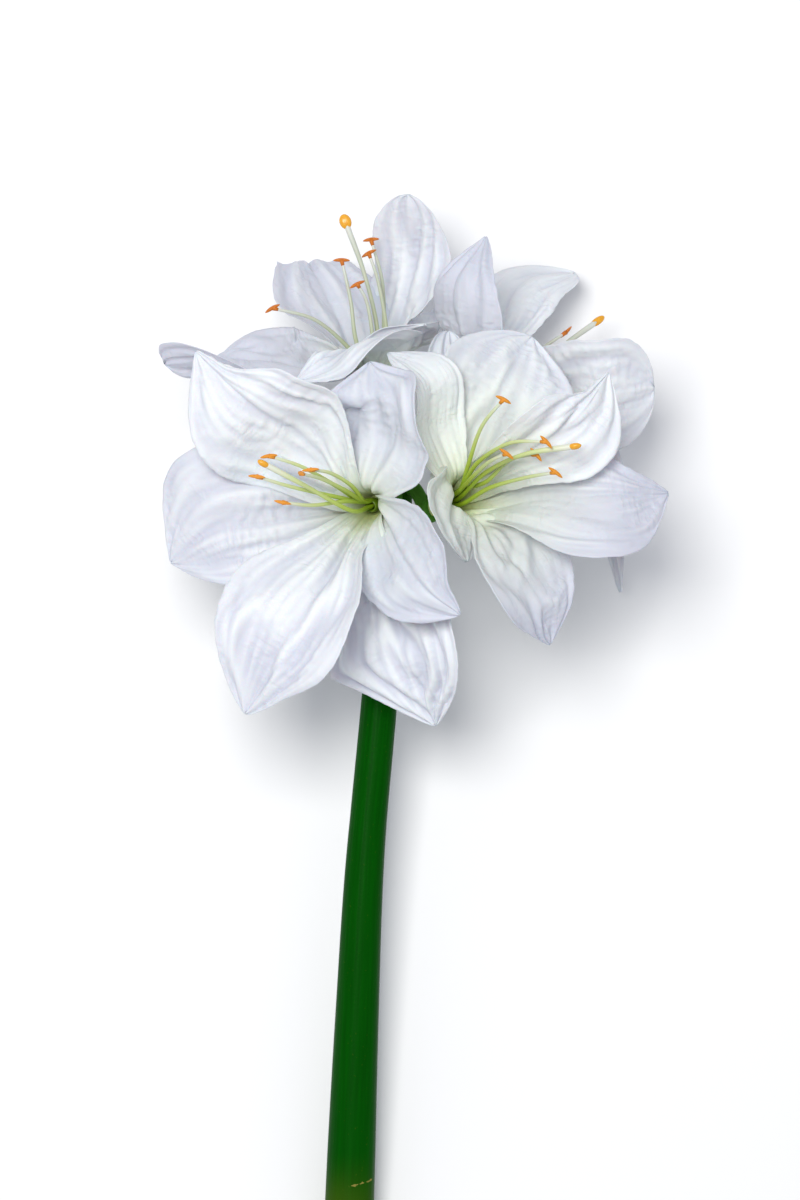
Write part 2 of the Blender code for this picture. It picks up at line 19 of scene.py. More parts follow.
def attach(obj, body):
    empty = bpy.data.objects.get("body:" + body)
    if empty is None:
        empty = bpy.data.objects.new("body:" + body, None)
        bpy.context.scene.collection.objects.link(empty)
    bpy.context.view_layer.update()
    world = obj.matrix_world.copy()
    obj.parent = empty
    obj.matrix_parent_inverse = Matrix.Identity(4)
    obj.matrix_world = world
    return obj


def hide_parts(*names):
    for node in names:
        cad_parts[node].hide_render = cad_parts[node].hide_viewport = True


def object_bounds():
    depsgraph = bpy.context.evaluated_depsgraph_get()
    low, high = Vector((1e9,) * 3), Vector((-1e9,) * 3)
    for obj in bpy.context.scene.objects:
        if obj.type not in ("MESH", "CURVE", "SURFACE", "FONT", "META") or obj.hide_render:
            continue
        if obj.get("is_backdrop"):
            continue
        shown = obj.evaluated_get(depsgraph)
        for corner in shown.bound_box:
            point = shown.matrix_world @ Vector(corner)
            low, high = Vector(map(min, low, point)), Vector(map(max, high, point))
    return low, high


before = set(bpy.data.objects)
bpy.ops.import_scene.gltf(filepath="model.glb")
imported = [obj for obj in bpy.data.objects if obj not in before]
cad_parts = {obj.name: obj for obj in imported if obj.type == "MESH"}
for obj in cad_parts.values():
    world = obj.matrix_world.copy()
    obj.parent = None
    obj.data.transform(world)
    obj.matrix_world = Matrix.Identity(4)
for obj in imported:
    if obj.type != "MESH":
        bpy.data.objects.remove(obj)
cad_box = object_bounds()

log = logging.getLogger("amaryllis")

MM = 0.001
BODY = "root"

# Millimetres in a unit of Object coordinates, and in a unit of a surface's own map.
OBJECT_MM = 1000.0
MAP_MM = 100.0

# Points that a smooth curve is read at between two of the points it runs through.
CURVE_STEPS = 24

# The tepals' random patterns are numbered from these, ten to a bloom.
RELIEF_SEED = 100
EDGE_SEED = 500

Array = np.ndarray
Material = bpy.types.Material
Socket = bpy.types.NodeSocket
Triple = tuple[float, float, float]
Points = tuple[Triple, ...]

# Ruffles that many of the back blooms' tepals share.
CALM = (1.5, 1.5, 0.1, 0.5)
LOW = (1, 1.5, 0.1, 0.5)


class Whorl(Enum):
    """The two whorls of three tepals, by the midrib's distance from the axis at three heights."""

    INNER = (3.0, 4.9, 10.5)
    OUTER = (4.3, 6.5, 12.5)


@dataclass(frozen=True)
class Tepal:
    """One tepal. Lengths are in millimetres and angles in degrees.

    blade holds the midrib's points beyond the funnel, the last of them the tip. left and right scale
    the half width at 30, 50, 70 and 90 % of the length. cup bends the cross-section and roll turns it
    about the midrib, each near the funnel, past the middle and at the tip. ruffle is the height of the
    edge's waves, their number, and where they start on the left and on the right. The embossing is a
    groove along the midrib, ribs and pleats that are counted on each side of it, streaks and puckers.
    shade is painted shade: how much darker and cooler than the others the tepal is painted, as a share
    of the way from white to the painted shade colour.
    """

    blade: Points
    half_width: float
    widest: float = 0.62
    blunt: float = 0.85
    cup: Triple = (45, 15, 5)
    roll: Triple = (0, 0, 0)
    left: tuple[float, ...] = (1, 1, 1, 1)
    right: tuple[float, ...] = (1, 1, 1, 1)
    ruffle: tuple[float, ...] = (1.5, 1.5, 0.2, 0.5)
    groove: float = 1.1
    ribs: float = 4.0
    rib_height: float = 0.25
    pleats: float = 1.5
    pleat_height: float = 1.0
    streak_height: float = 0.2
    pucker_height: float = 0.35
    shade: float = 0.0


@dataclass(frozen=True)
class Bloom:
    """One bloom: the foot of its tube, its axis, the turn of its first tepal, and its pieces.

    The tepals' roots are 60 degrees apart about the axis, counted from the direction called front.
    A stamen is a pair: its filament's points and the direction in which its anther lies across it.
    The stigma is given by its length, width and depth, and the blush by its share of yellow-green.
    """

    name: str
    foot: Triple
    axis: Triple
    front: Triple
    first_root_deg: float
    tepals: tuple[Tepal, ...]
    stamens: tuple
    style: Points
    stigma: Triple = (5.8, 3.7, 3.0)
    blush: float = 0.06

    def directions(self) -> tuple[Array, Array, Array, Array]:
        """Return the directions that the bloom is built in.

        Returns:
            The foot, the axis, and the two directions square to the axis, front first.
        """
        axis = unit(self.axis)
        front = square_to(self.front, axis)
        return np.array(self.foot, float), axis, front, np.cross(axis, front)


FRONT_LEFT = Bloom(
    name="front_left", foot=(-4, -7, 23), axis=(-0.42, -0.22, 0.88), front=(0, 1, 0), first_root_deg=331,
    tepals=(
        Tepal(((-4, 18, 54), (-5, 36, 60), (-11, 52, 48)), 27, cup=(45, 10, 0), roll=(0, -14, -12),
              left=(1, 1, 1.05, 1.5), right=(1.75, 1, 0.72, 0.75), ruffle=(2, 1.5, 0.3, 0.2),
              pleat_height=1.1, pucker_height=0.3, shade=0.45),
        Tepal(((-41, 18, 48), (-66, 34, 62), (-86, 56, 58)), 32, cup=(50, 20, 0), roll=(5, 9, 11),
              left=(1, 1, 1, 0.95), right=(1, 1, 0.8, 0.28), ruffle=(3, 1.5, 0.1, 0.4), shade=-0.25,
              ribs=6, rib_height=0.35, pleats=1.8, pleat_height=0.9, pucker_height=0.45),
        Tepal(((-46, -15, 40), (-76, -19, 42), (-99, -35, 28)), 36, widest=0.66, cup=(36, 2, 2),
              roll=(0, 7, 7), left=(0.9, 0.8, 0.78, 0.85), ruffle=(2, 2, 0.2, 0.6), shade=0.2,
              ribs=6, rib_height=0.35, pleats=1.8, pleat_height=0.9, pucker_height=0.7),
        Tepal(((-29, -41, 60), (-50, -73, 68), (-65, -101, 56)), 33, widest=0.6, blunt=0.75,
              cup=(45, 22, 15), left=(0.4, 0.76, 0.88, 0.6), right=(1.15, 1.15, 1.06, 1),
              ruffle=(1.5, 1.5, 0.5, 0.1),
              groove=1.5, pleats=1.6, pleat_height=1.5, streak_height=0.3),
        Tepal(((-5, -43, 38), (6, -76, 44), (18, -107, 30)), 27, cup=(40, 14, 5),
              left=(1, 1, 0.95, 0.9), right=(1, 1.1, 1.45, 1.25), ruffle=(2, 1.5, 0, 0.5), shade=-0.1,
              groove=2, ribs=5, rib_height=0.4, pleats=2.2, pleat_height=1.8, streak_height=0.35),
        Tepal(((1, -28, 62), (13, -47, 72), (28, -58, 70)), 24, cup=(45, 10, 0),
              left=(1.1, 1.05, 1, 0.5), right=(1.3, 1.25, 1.05, 0.9), ruffle=(2.5, 1.5, 0.2, 0.7),
              ribs=3, pleats=1.3, pleat_height=1.2, pucker_height=0.3, shade=0.5),
    ),
    stamens=(
        (((-26, -2, 60), (-41, 6, 70), (-54, 10, 76)), (1, 0.15, 0)),
        (((-26, -7, 62), (-45, -3, 74), (-59, 1, 82)), (1, -0.1, 0.2)),
        (((-22, -9, 58), (-36, -11, 70), (-48, -10, 78)), (1, -0.2, 0)),
        (((-22, -4, 64), (-31, 0, 76), (-40, 2, 90)), (0.3, -0.2, 0.9)),
        (((-19, -2, 60), (-28, 3, 70), (-36, 4, 78)), (1, 0.1, 0)),
    ),
    style=((-19, -13, 60), (-38, -3, 75), (-55, 6, 82)),
)
FRONT_RIGHT = Bloom(
    name="front_right", foot=(18, -11, 16), axis=(0.55, 0.22, 0.80), front=(0, 1, 0), first_root_deg=358,
    tepals=(
        Tepal(((39, 23, 28), (49, 46, 26), (61, 66, 8)), 28, blunt=0.7, cup=(35, 5, 5),
              roll=(-12, -20, -15), left=(0.7, 0.95, 1.05, 1), right=(0.9, 1.1, 1.25, 1.3),
              ruffle=(2.5, 2, 0.2, 0.5), shade=-0.1,
              groove=0.8, ribs=3, pleat_height=1.2, pucker_height=0.8),
        Tepal(((17, 23, 42), (15, 44, 47), (-3, 57, 34)), 24, cup=(45, 20, 5),
              left=(0.9, 0.6, 0.5, 0.5), right=(0.5, 0.65, 0.7, 0.8), shade=-0.7,
              groove=0.6, rib_height=0.7, pleats=1, pleat_height=0.4, pucker_height=0.2),
        Tepal(((26, -9, 47), (26, -21, 57), (31, -35, 60)), 20, widest=0.6, blunt=0.6, cup=(15, 10, 10),
              left=(0.7, 0.85, 1, 1), right=(2.5, 1.9, 1, 0.9), ruffle=(1, 1.5, 0.2, 0.5), shade=0.6),
        Tepal(((49, -29, 50), (62, -52, 54), (68, -71, 40)), 25, widest=0.6, cup=(45, 18, 10),
              right=(0.6, 0.9, 0.95, 0.6), ruffle=(2, 1.5, 0.6, 0.1), shade=0.7,
              groove=1.3, ribs=3, pleats=1.6, pleat_height=1.2, pucker_height=0.4),
        Tepal(((62, -7, 44), (93, -8, 52), (120, -5, 38)), 27, widest=0.66, cup=(40, 10, 5),
              left=(0.9, 0.85, 0.8, 0.6), right=(1, 1, 1.03, 1.03), ruffle=(1.5, 2, 0.2, 0.5), shade=0.6,
              groove=0.7, ribs=5, rib_height=0.55, pleat_height=0.8, pucker_height=0.3),
        Tepal(((53, 10, 56), (76, 24, 64), (93, 47, 52)), 28, cup=(50, 22, 5), shade=-0.5,
              left=(0.9, 0.85, 0.72, 0.2), right=(0.6, 0.78, 0.95, 1.05), ruffle=(2, 1.5, 0.2, 0.5),
              groove=0.9, ribs=5, rib_height=0.6, pleat_height=1.1, pucker_height=0.25),
    ),
    stamens=(
        (((32, 7, 44), (38, 24, 56), (47, 35, 64)), (0.88, -0.45, 0)),
        (((36, 8, 51), (50, 16, 67), (65, 16, 78)), (0.67, -0.74, 0)),
        (((35, 3, 54), (41, 8, 66), (48, 11, 76)), (0.8, -0.6, 0)),
        (((40, 0, 47), (50, 9, 60), (61, 11, 69)), (0.64, -0.77, 0)),
        (((41, -3, 50), (56, 1, 64), (69, 3, 76)), (0.8, -0.6, 0)),
    ),
    style=((40, 4, 55), (56, 11, 70), (76, 14, 76)),
    blush=0.26,
)
BACK_LEFT = Bloom(
    name="back_left", foot=(-4, 29, -6), axis=(-0.20, 0.97, -0.10), front=(0, 0, 1), first_root_deg=46,
    tepals=(
        Tepal(((3, 60, 10), (7, 67, 20), (13, 70, 29)), 22, widest=0.6, cup=(50, 30, 20), ruffle=LOW),
        Tepal(((0, 72, -30), (8, 103, -35), (6, 133, -20)), 18, widest=0.68, blunt=0.55,
              left=(1.1, 1.2, 1, 1.25), right=(1, 1.1, 1.15, 1), ruffle=CALM, shade=-0.1),
        Tepal(((3, 66, -44), (8, 81, -66), (2, 76, -78)), 22, widest=0.6, ruffle=CALM),
        Tepal(((-25, 76, -30), (-36, 99, -42), (-41, 106, -62), (-44, 97, -84)), 27, widest=0.5,
              blunt=0.6, cup=(45, 10, -10), left=(2.1, 1.3, 0.7, 0.6), right=(1.1, 1, 0.8, 0.8),
              ruffle=(0.6, 1.5, 0.1, 0.5), shade=0.45),
        Tepal(((-40, 53, 8), (-70, 56, 14), (-93, 55, 12), (-103, 54, 6)), 22, widest=0.5, blunt=0.35,
              roll=(-35, -45, 25), left=(1.4, 1.1, 0.85, 1), right=(1.2, 1.1, 0.95, 1), ruffle=CALM,
              shade=1.5),
        Tepal(((-17, 59, 19), (-28, 57, 31), (-43, 45, 35)), 28, widest=0.55, cup=(45, 0, -20),
              left=(1.3, 1.3, 1.2, 0.8), right=(1, 0.9, 0.6, 0.35), ruffle=CALM),
    ),
    stamens=(
        (((-17, 63, 2), (-20, 83, 4), (-24, 101, 4)), (1, 0, 0)),
        (((-10, 67, 2), (-13, 83, 4), (-17, 90, 6)), (0.9, 0.44, 0)),
        (((-4, 70, -9), (-8, 94, -14), (-12, 106, -16)), (0.88, 0.46, 0)),
        (((-5, 71, -12), (-6, 94, -20), (-11, 113, -24)), (1, 0.13, 0)),
        (((-19, 60, -5), (-36, 74, 4), (-55, 79, 8)), (0.86, 0.5, 0)),
    ),
    style=((-8, 70, -5), (-14, 96, -7), (-22, 118, -6)),
    stigma=(7.0, 5.4, 4.0),
)
BACK_RIGHT = Bloom(
    name="back_right", foot=(25, 25, -12), axis=(0.66, 0.52, -0.54), front=(0, 0, 1), first_root_deg=45,
    tepals=(
        Tepal(((71, 41, -12), (96, 40, 0), (117, 44, -6)), 25, widest=0.66, blunt=0.45,
              cup=(45, 0, -15), left=(1, 1.1, 1.2, 1.1), right=(1, 1, 1.15, 1.3), ruffle=LOW, shade=-0.15),
        Tepal(((76, 22, -30), (94, -6, -38), (104, -48, -40)), 22, widest=0.55,
              left=(1, 1, 0.8, 0.5), right=(1, 1, 0.9, 0.8), ruffle=LOW),
        Tepal(((59, 42, -52), (79, 43, -63), (97, 34, -61)), 24, widest=0.6, ruffle=LOW),
        Tepal(((50, 73, -42), (62, 93, -56), (84, 102, -70)), 30, widest=0.66, blunt=0.45,
              cup=(40, 15, 5), roll=(0, 40, 40), left=(0.5, 0.5, 0.6, 0.6), right=(0.9, 1, 0.9, 1),
              ruffle=LOW, shade=-0.4),
        Tepal(((31, 70, -2), (31, 92, 4), (41, 112, -4)), 20, widest=0.55, cup=(45, 25, 10),
              right=(1.2, 1.15, 1.15, 1), ruffle=LOW, shade=0.8),
        Tepal(((32, 46, 2), (25, 57, 8), (24, 69, 2)), 14, widest=0.6, blunt=0.6, cup=(40, 0, -20),
              roll=(0, 20, 30), ruffle=(0.5, 1.5, 0.1, 0.5)),
    ),
    stamens=(
        (((56, 55, -27), (69, 65, -37), (79, 72, -44)), (0.7, 0.7, 0)),
        (((59, 50, -26), (69, 58, -32), (76, 65, -38)), (0.9, 0.4, 0)),
        (((60, 44, -36), (72, 50, -48), (85, 57, -58)), (0.5, -0.8, 0)),
        (((55, 52, -40), (66, 60, -54), (77, 65, -66)), (0.6, 0.2, 0.7)),
        (((58, 47, -40), (70, 52, -54), (82, 55, -66)), (0.4, -0.8, 0.3)),
    ),
    style=((61, 51, -32), (78, 66, -44), (93, 77, -50)),
    stigma=(8.2, 3.5, 3.2),
)

BLOOMS = (FRONT_LEFT, FRONT_RIGHT, BACK_LEFT, BACK_RIGHT)


def unit(vectors: Array | Triple) -> Array:
    """Return the vectors at length one."""
    vectors = np.asarray(vectors, float)
    return vectors / np.linalg.norm(vectors, axis=-1, keepdims=True)


def square_to(vector: Array | Triple, axis: Array) -> Array:
    """Return the direction nearest to the vector that is square to a unit axis."""
    vector = np.asarray(vector, float)
    return unit(vector - (vector @ axis) * axis)


def run_along(line: Array) -> Array:
    """Return how far along a line each of its points is."""
    return np.concatenate([[0], np.cumsum(np.linalg.norm(np.diff(line, axis=0), axis=1))])


def spread(centre: Array, first: Array, second: Array, x: Array, y: Array) -> Array:
    """Return the centre plus x along the first direction and y along the second, over a grid."""
    return centre + x[..., None] * first + y[..., None] * second


def smoothstep(low: float, high: float, x: Array) -> Array:
    """Return 0 below low, 1 above high, and 3f² − 2f³ in between, f being the share of the way."""
    f = np.clip((x - low) / (high - low), 0, 1)
    return f * f * (3 - 2 * f)


def eased(stations: tuple, values: tuple, s: Array) -> Array:
    """Return the value at s, eased from each station's value to the next with a smooth step.

    Args:
        stations: Rising places along the piece.
        values: The value at each of them.
        s: Places to read at.

    Returns:
        The eased value at each place.
    """
    stations, values = np.asarray(stations, float), np.asarray(values, float)
    i = np.clip(np.searchsorted(stations, s, side="right") - 1, 0, len(stations) - 2)
    f = smoothstep(0, 1, (s - stations[i]) / (stations[i + 1] - stations[i]))
    return values[i] + (values[i + 1] - values[i]) * f


def between(t: Array, low: float, high: float, first: Array, last: Array) -> Array:
    """Return the points at each t on the way from first, at low, to last, at high."""
    return (high - t) / (high - low) * first + (t - low) / (high - low) * last


def smooth_line(points: Points | list, count: int) -> Array:
    """Return evenly spaced points along a smooth curve through the given points.

    The curve is a centripetal Catmull-Rom spline: each span blends the parabolas through its
    neighbours, with knots spaced by the square root of the chord, so it never overshoots.

    Args:
        points: The points that the curve passes through.
        count: How many points to return.

    Returns:
        An array of count points.
    """
    points = np.asarray(points, float)
    points = np.vstack([2 * points[0] - points[1], points, 2 * points[-1] - points[-2]])
    spans = []
    for i in range(len(points) - 3):
        p = points[i:i + 4]
        knot = np.cumsum([0.0] + [math.sqrt(np.linalg.norm(b - a)) for a, b in zip(p, p[1:])])
        t = np.linspace(knot[1], knot[2], CURVE_STEPS, endpoint=False)[:, None]
        lines = [between(t, knot[j], knot[j + 1], p[j], p[j + 1]) for j in range(3)]
        bends = [between(t, knot[j], knot[j + 2], lines[j], lines[j + 1]) for j in range(2)]
        spans.append(between(t, knot[1], knot[2], *bends))
    fine = np.vstack(spans + [points[-2][None]])
    run = run_along(fine)
    wanted = np.linspace(0, run[-1], count)
    return np.stack([np.interp(wanted, run, fine[:, k]) for k in range(3)], axis=1)


def ripples(x: Array, y: Array, pitch: float, seed: int, waves: int = 11) -> Array:
    """Return a soft random height of about −1 to 1: a sum of sine waves in seeded directions.

    Args:
        x: First coordinate, in the pitch's own unit.
        y: Second coordinate.
        pitch: Mean distance between crests.
        seed: Number that fixes the waves' directions and phases.
        waves: How many waves are added.

    Returns:
        The height at each point.
    """
    random = np.random.default_rng(seed)
    height = np.zeros(np.broadcast(x, y).shape)
    for _ in range(waves):
        turn, phase = random.uniform(0, 2 * math.pi, 2)
        rate = 2 * math.pi * random.uniform(0.7, 1.4) / pitch
        height += np.sin(rate * (x * math.cos(turn) + y * math.sin(turn)) + phase)
    return height / math.sqrt(waves)


@dataclass(frozen=True)
class Lie:
    """How the flower lies: raised about its cut end, rolled a little, its scape's top at a place."""

    raise_deg: float = 8.897
    roll_deg: float = -0.591
    scape_top: Triple = (-7.67, 116.2, 68.71)

    def turn(self) -> Array:
        """Work out the rotation: the raise about X, then the roll about Y.

        Returns:
            The rotation matrix.
        """
        a, b = math.radians(self.raise_deg), math.radians(self.roll_deg)
        raised = np.array([[1, 0, 0], [0, math.cos(a), -math.sin(a)], [0, math.sin(a), math.cos(a)]])
        rolled = np.array([[math.cos(b), 0, math.sin(b)], [0, 1, 0], [-math.sin(b), 0, math.cos(b)]])
        return rolled @ raised

    def place(self, points: Array) -> Array:
        """Return points of the flower's frame, in millimetres, as points of the model, in metres."""
        return (np.asarray(points, float) @ self.turn().T + np.array(self.scape_top)) * MM


LIE = Lie()


@dataclass
class Surface:
    """A closed surface: its points, blocks of faces, its map, and what its finish reads at each point."""

    points: Array
    faces: list
    uv: Array
    marks: dict[str, Array]

    @staticmethod
    def joined(parts: list["Surface"]) -> "Surface":
        """Join surfaces side by side.

        Args:
            parts: The surfaces, with the same marks.

        Returns:
            One surface that holds them all.
        """
        start = np.cumsum([0] + [len(part.points) for part in parts])
        return Surface(
            points=np.vstack([part.points for part in parts]),
            faces=[face + first for part, first in zip(parts, start) for face in part.faces],
            uv=np.vstack([part.uv for part in parts]),
            marks={key: np.concatenate([part.marks[key] for part in parts]) for key in parts[0].marks},
        )

    def piece(self, name: str, material: Material, slot: str, node: str | None = None) -> None:
        """Put the surface into the scene, placed by the flower's lie, and let it ride on the flower.

        Args:
            name: The piece's name.
            material: Its finish.
            slot: The record's material slot. It is not used.
            node: The node that it replaces, if any.
        """
        mesh = bpy.data.meshes.new(name)
        polygons = [polygon for block in self.faces for polygon in block.tolist()]
        mesh.from_pydata(LIE.place(self.points).tolist(), [], polygons)
        corner = np.empty(len(mesh.loops), np.int32)
        mesh.loops.foreach_get("vertex_index", corner)
        layer = mesh.uv_layers.new(name="UVMap")
        layer.data.foreach_set("uv", self.uv[corner].astype(np.float32).ravel())
        for key, values in self.marks.items():
            mark = mesh.attributes.new(key, "FLOAT", "POINT")
            mark.data.foreach_set("value", values.astype(np.float32))
        mesh.shade_smooth()
        mesh.materials.append(material)
        mesh.update()
        piece = bpy.data.objects.new(name, mesh)
        bpy.context.scene.collection.objects.link(piece)
        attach(piece, BODY)
        if node:
            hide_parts(node)
        log.info("%s: %d faces", name, len(polygons))


def wrapped(rows: int, sides: int) -> Array:
    """Return the quads of a stack of closed rings, wound to face away from the rings' middles.

    Args:
        rows: How many rings.
        sides: Points in each ring.

    Returns:
        An array of corner numbers, four to a face.
    """
    i, k = np.meshgrid(np.arange(rows - 1), np.arange(sides), indexing="ij")
    n = (k + 1) % sides
    corners = i * sides + k, i * sides + n, (i + 1) * sides + n, (i + 1) * sides + k
    return np.stack(corners, -1).reshape(-1, 4)


def around(sides: int) -> Array:
    """Return evenly spaced angles, once round, as a row."""
    return np.linspace(0, 2 * math.pi, sides, endpoint=False)[None]


def closed(ring: Array, ends: list, uv: tuple, marks: dict | None = None) -> Surface:
    """Return the closed body of a stack of rings, with a fan of faces to a point at each end.

    Args:
        ring: The rings' points, rings by sides.
        ends: The foot's point and the head's.
        uv: The map's two values, which spread to rings by sides.
        marks: Values at each ring that the finish reads.

    Returns:
        The closed body.
    """
    rows, sides = ring.shape[:2]
    k = np.arange(sides)
    n = (k + 1) % sides
    last = (rows - 1) * sides
    foot = np.stack([n, k, np.full(sides, rows * sides)], -1)
    head = np.stack([last + k, last + n, np.full(sides, rows * sides + 1)], -1)
    uv = np.stack(np.broadcast_arrays(*uv), -1).reshape(-1, 2)
    marks = {key: np.append(np.repeat(values, sides), [values[0], values[-1]])
             for key, values in (marks or {}).items()}
    return Surface(np.vstack([ring.reshape(-1, 3), *ends]), [wrapped(rows, sides), foot, head],
                   np.vstack([uv, uv[:1], uv[-1:]]), marks)


def swept(line: Array, radii: Array | tuple, sides: int, marks: dict | None = None,
          lobes: Array | float = 1.0) -> Surface:
    """Return a closed tube along a line: rings square to it, and a point at each end.

    Each ring is carried from the last one by the smallest turn. A ring's point is the line's point
    plus the radius times the cosine and the sine of its angle along the ring's two directions.

    Args:
        line: The middle line's points.
        radii: The radius at each of them.
        sides: Points in a ring.
        marks: Values at each ring that the finish reads.
        lobes: Factors on the radius, rings by sides.

    Returns:
        The tube, mapped by the way round and the run.
    """
    along = unit(np.gradient(line, axis=0))
    # Any direction that no tube of the flower runs along will do to start from.
    firsts = [unit(np.cross(along[0], (0.31, 0.17, 0.93)))]
    for direction in along[1:]:
        firsts.append(square_to(firsts[-1], direction))
    first = np.array(firsts)
    angle = around(sides)
    radius = np.asarray(radii, float)[:, None] * lobes
    ring = spread(line[:, None], first[:, None], np.cross(along, first)[:, None],
                  radius * np.cos(angle), radius * np.sin(angle))
    uv = angle * radius.mean() / MAP_MM, run_along(line)[:, None] / MAP_MM
    return closed(ring, [line[:1], line[-1:]], uv, marks)


def linear(colour: str) -> tuple[float, float, float, float]:
    """Return a hex sRGB colour as linear red, green, blue and alpha."""
    parts = [int(colour[k:k + 2], 16) / 255 for k in (1, 3, 5)]
    return (*(c / 12.92 if c <= 0.04045 else ((c + 0.055) / 1.055) ** 2.4 for c in parts), 1.0)


class Finish:
    """A material and the function that adds its nodes."""

    def __init__(self, name: str) -> None:
        """Make the material with its Principled shader."""
        self.material = bpy.data.materials.new(name)
        self.material.use_nodes = True
        self.tree = self.material.node_tree

    def join(self, node: bpy.types.Node, inputs: dict) -> None:
        """Give a node its inputs.

        Args:
            node: The node.
            inputs: Values or sockets, by the input's name or number.
        """
        for key, value in inputs.items():
            if isinstance(value, Socket):
                self.tree.links.new(value, node.inputs[key])
            else:
                node.inputs[key].default_value = value

    def add(self, kind: str, inputs: dict | None = None, output: int | str = 0,
            **options: object) -> Socket:
        """Add a node with its settings and links.

        Args:
            kind: The node's type, without its ShaderNode prefix.
            inputs: Values or sockets for its inputs, by name or number.
            output: The output that is wanted, by name or number.
            options: Its own properties.

        Returns:
            That output.
        """
        node = self.tree.nodes.new("ShaderNode" + kind)
        for key, value in options.items():
            setattr(node, key, value)
        self.join(node, inputs or {})
        return node.outputs[output]

    def total(self, *products: tuple, start: object = 0.0) -> Socket:
        """Add products up.

        Args:
            products: Pairs of values or sockets, each to be multiplied.
            start: The value or socket that they are added to.

        Returns:
            The start plus the products.
        """
        for first, second in products:
            start = self.add("Math", {0: first, 1: second, 2: start}, operation="MULTIPLY_ADD")
        return start

    def layered(self, ground: str, *layers: tuple) -> Socket:
        """Lay colours over each other.

        Args:
            ground: The lowest hex colour.
            layers: Pairs of a share of 0 to 1 and a hex colour, from the lowest up.

        Returns:
            The colour.
        """
        colour = linear(ground)
        for share, top in layers:
            colour = self.add("Mix", {0: share, 6: colour, 7: linear(top)}, 2, data_type="RGBA")
        return colour

    def wear(self, height: Socket | None = None, depth: float = 1.0, **inputs: object) -> Material:
        """Give the shader its inputs.

        Args:
            height: Height of the bump in millimetres.
            depth: Strength of the bump.
            inputs: Its other inputs, their names written with underscores.

        Returns:
            The finished material.
        """
        if height is not None:
            inputs["Normal"] = self.add("Bump", {"Height": height, "Strength": depth, "Distance": MM})
        shader = self.tree.nodes["Principled BSDF"]
        self.join(shader, {key.replace("_", " "): value for key, value in inputs.items()})
        return self.material


@dataclass(frozen=True)
class PressedCloth:
    """White polyester cloth, woven, tinted toward the throat and pressed between hot moulds.

    The moulds leave veins and small creases that catch the light, and the weave keeps the white soft
    and matt. Its cords are drawn at 0.55 mm, about twice their real pitch, so that they show. Pitches
    and the heights of the bump are in millimetres, and veins counts them on each side of the midrib.
    Over the white lie painted light and shade: whiter crests, and the painted shade colour in the
    folds' valleys and on shaded tepals.
    """

    white: str = "#E5E8ED"
    painted_shade: str = "#CACEDB"
    vein: str = "#C4CAD9"
    pale: str = "#DDE6B8"
    deep: str = "#A3B04E"
    veins: float = 7.0
    vein_depth: float = 0.12
    wander_mm: float = 16.0
    patch_mm: float = 14.0
    cord_mm: float = 0.55
    cord_height: float = 0.02
    crease_mm: float = 3.5
    crease_height: float = 0.3
    press_mm: float = 4.5
    press_height: float = 0.6
    cloud_mm: float = 30.0

    def material(self) -> Material:
        """Make the material, read from the tepal's own map and marks.

        Returns:
            The material.
        """
        made = Finish("pressed_white_cloth")
        lay = made.add("UVMap")
        place = made.add("TexCoord", output="Object")
        across, throat, deep, painted_fold_shading = (made.add("Attribute", output="Fac", attribute_name=mark)
                                      for mark in ("across", "throat", "deep", "painted_fold_shading"))
        # Veins run from root to tip, evenly spread over the width. They wander, and fade out in places.
        wander = made.add("TexNoise", {"Vector": lay, "Scale": MAP_MM / self.wander_mm})
        count = made.total((across, self.veins), (wander, 3.0))
        wave = made.add("Math", {0: made.total((count, 2 * math.pi))}, operation="SINE")
        patch = made.add("TexNoise", {"Vector": lay, "Scale": MAP_MM / self.patch_mm})
        shown = made.add("MapRange", {0: patch, 1: 0.42, 2: 0.62}, interpolation_type="SMOOTHSTEP")
        ridge = made.add("Math", {0: made.total((wave, 0.5), start=0.5), 1: 3.0}, operation="POWER")
        vein = made.total((ridge, shown))
        # The weave is a twill of diagonal cords. The wave node's phase is ten radians a unit of its scale.
        cords = made.add("TexWave", {"Vector": lay, "Scale": 2 * math.pi * MAP_MM / (10 * self.cord_mm),
                                     "Distortion": 0.4, "Detail": 1.0}, 1, bands_direction="DIAGONAL")
        crease = made.add("TexNoise", {"Vector": lay, "Scale": MAP_MM / self.crease_mm, "Detail": 3.0})
        # The moulds also leave short ripples across the run, in the same patches as the veins.
        squeezed = made.add("Mapping", {"Vector": lay, "Scale": (1.0, 2.4, 1.0)})
        press = made.add("TexNoise", {"Vector": squeezed, "Scale": MAP_MM / self.press_mm, "Detail": 1.0})
        # Painted light and shade: the folds' crests are painted whiter, and their valleys and shaded tepals
        # cooler, with soft clouds of random tone on both.
        cloud = made.add("TexNoise", {"Vector": place, "Scale": OBJECT_MM / self.cloud_mm})
        crest = made.total((cloud, 0.5), (painted_fold_shading, 1.0), start=-0.25)
        colour = made.layered(self.painted_shade, (crest, self.white), (made.total((vein, 0.15)), self.vein),
                              (throat, self.pale), (deep, self.deep))
        height = made.total((vein, -self.vein_depth), (cords, self.cord_height),
                            (crease, self.crease_height),
                            (made.total((press, shown)), self.press_height))
        rough = made.total((crease, 0.15), start=0.5)
        return made.wear(height, 0.8, Base_Color=colour, Roughness=rough, Subsurface_Weight=0.12,
                         Subsurface_Scale=0.002, Sheen_Weight=0.1, Specular_IOR_Level=0.35)


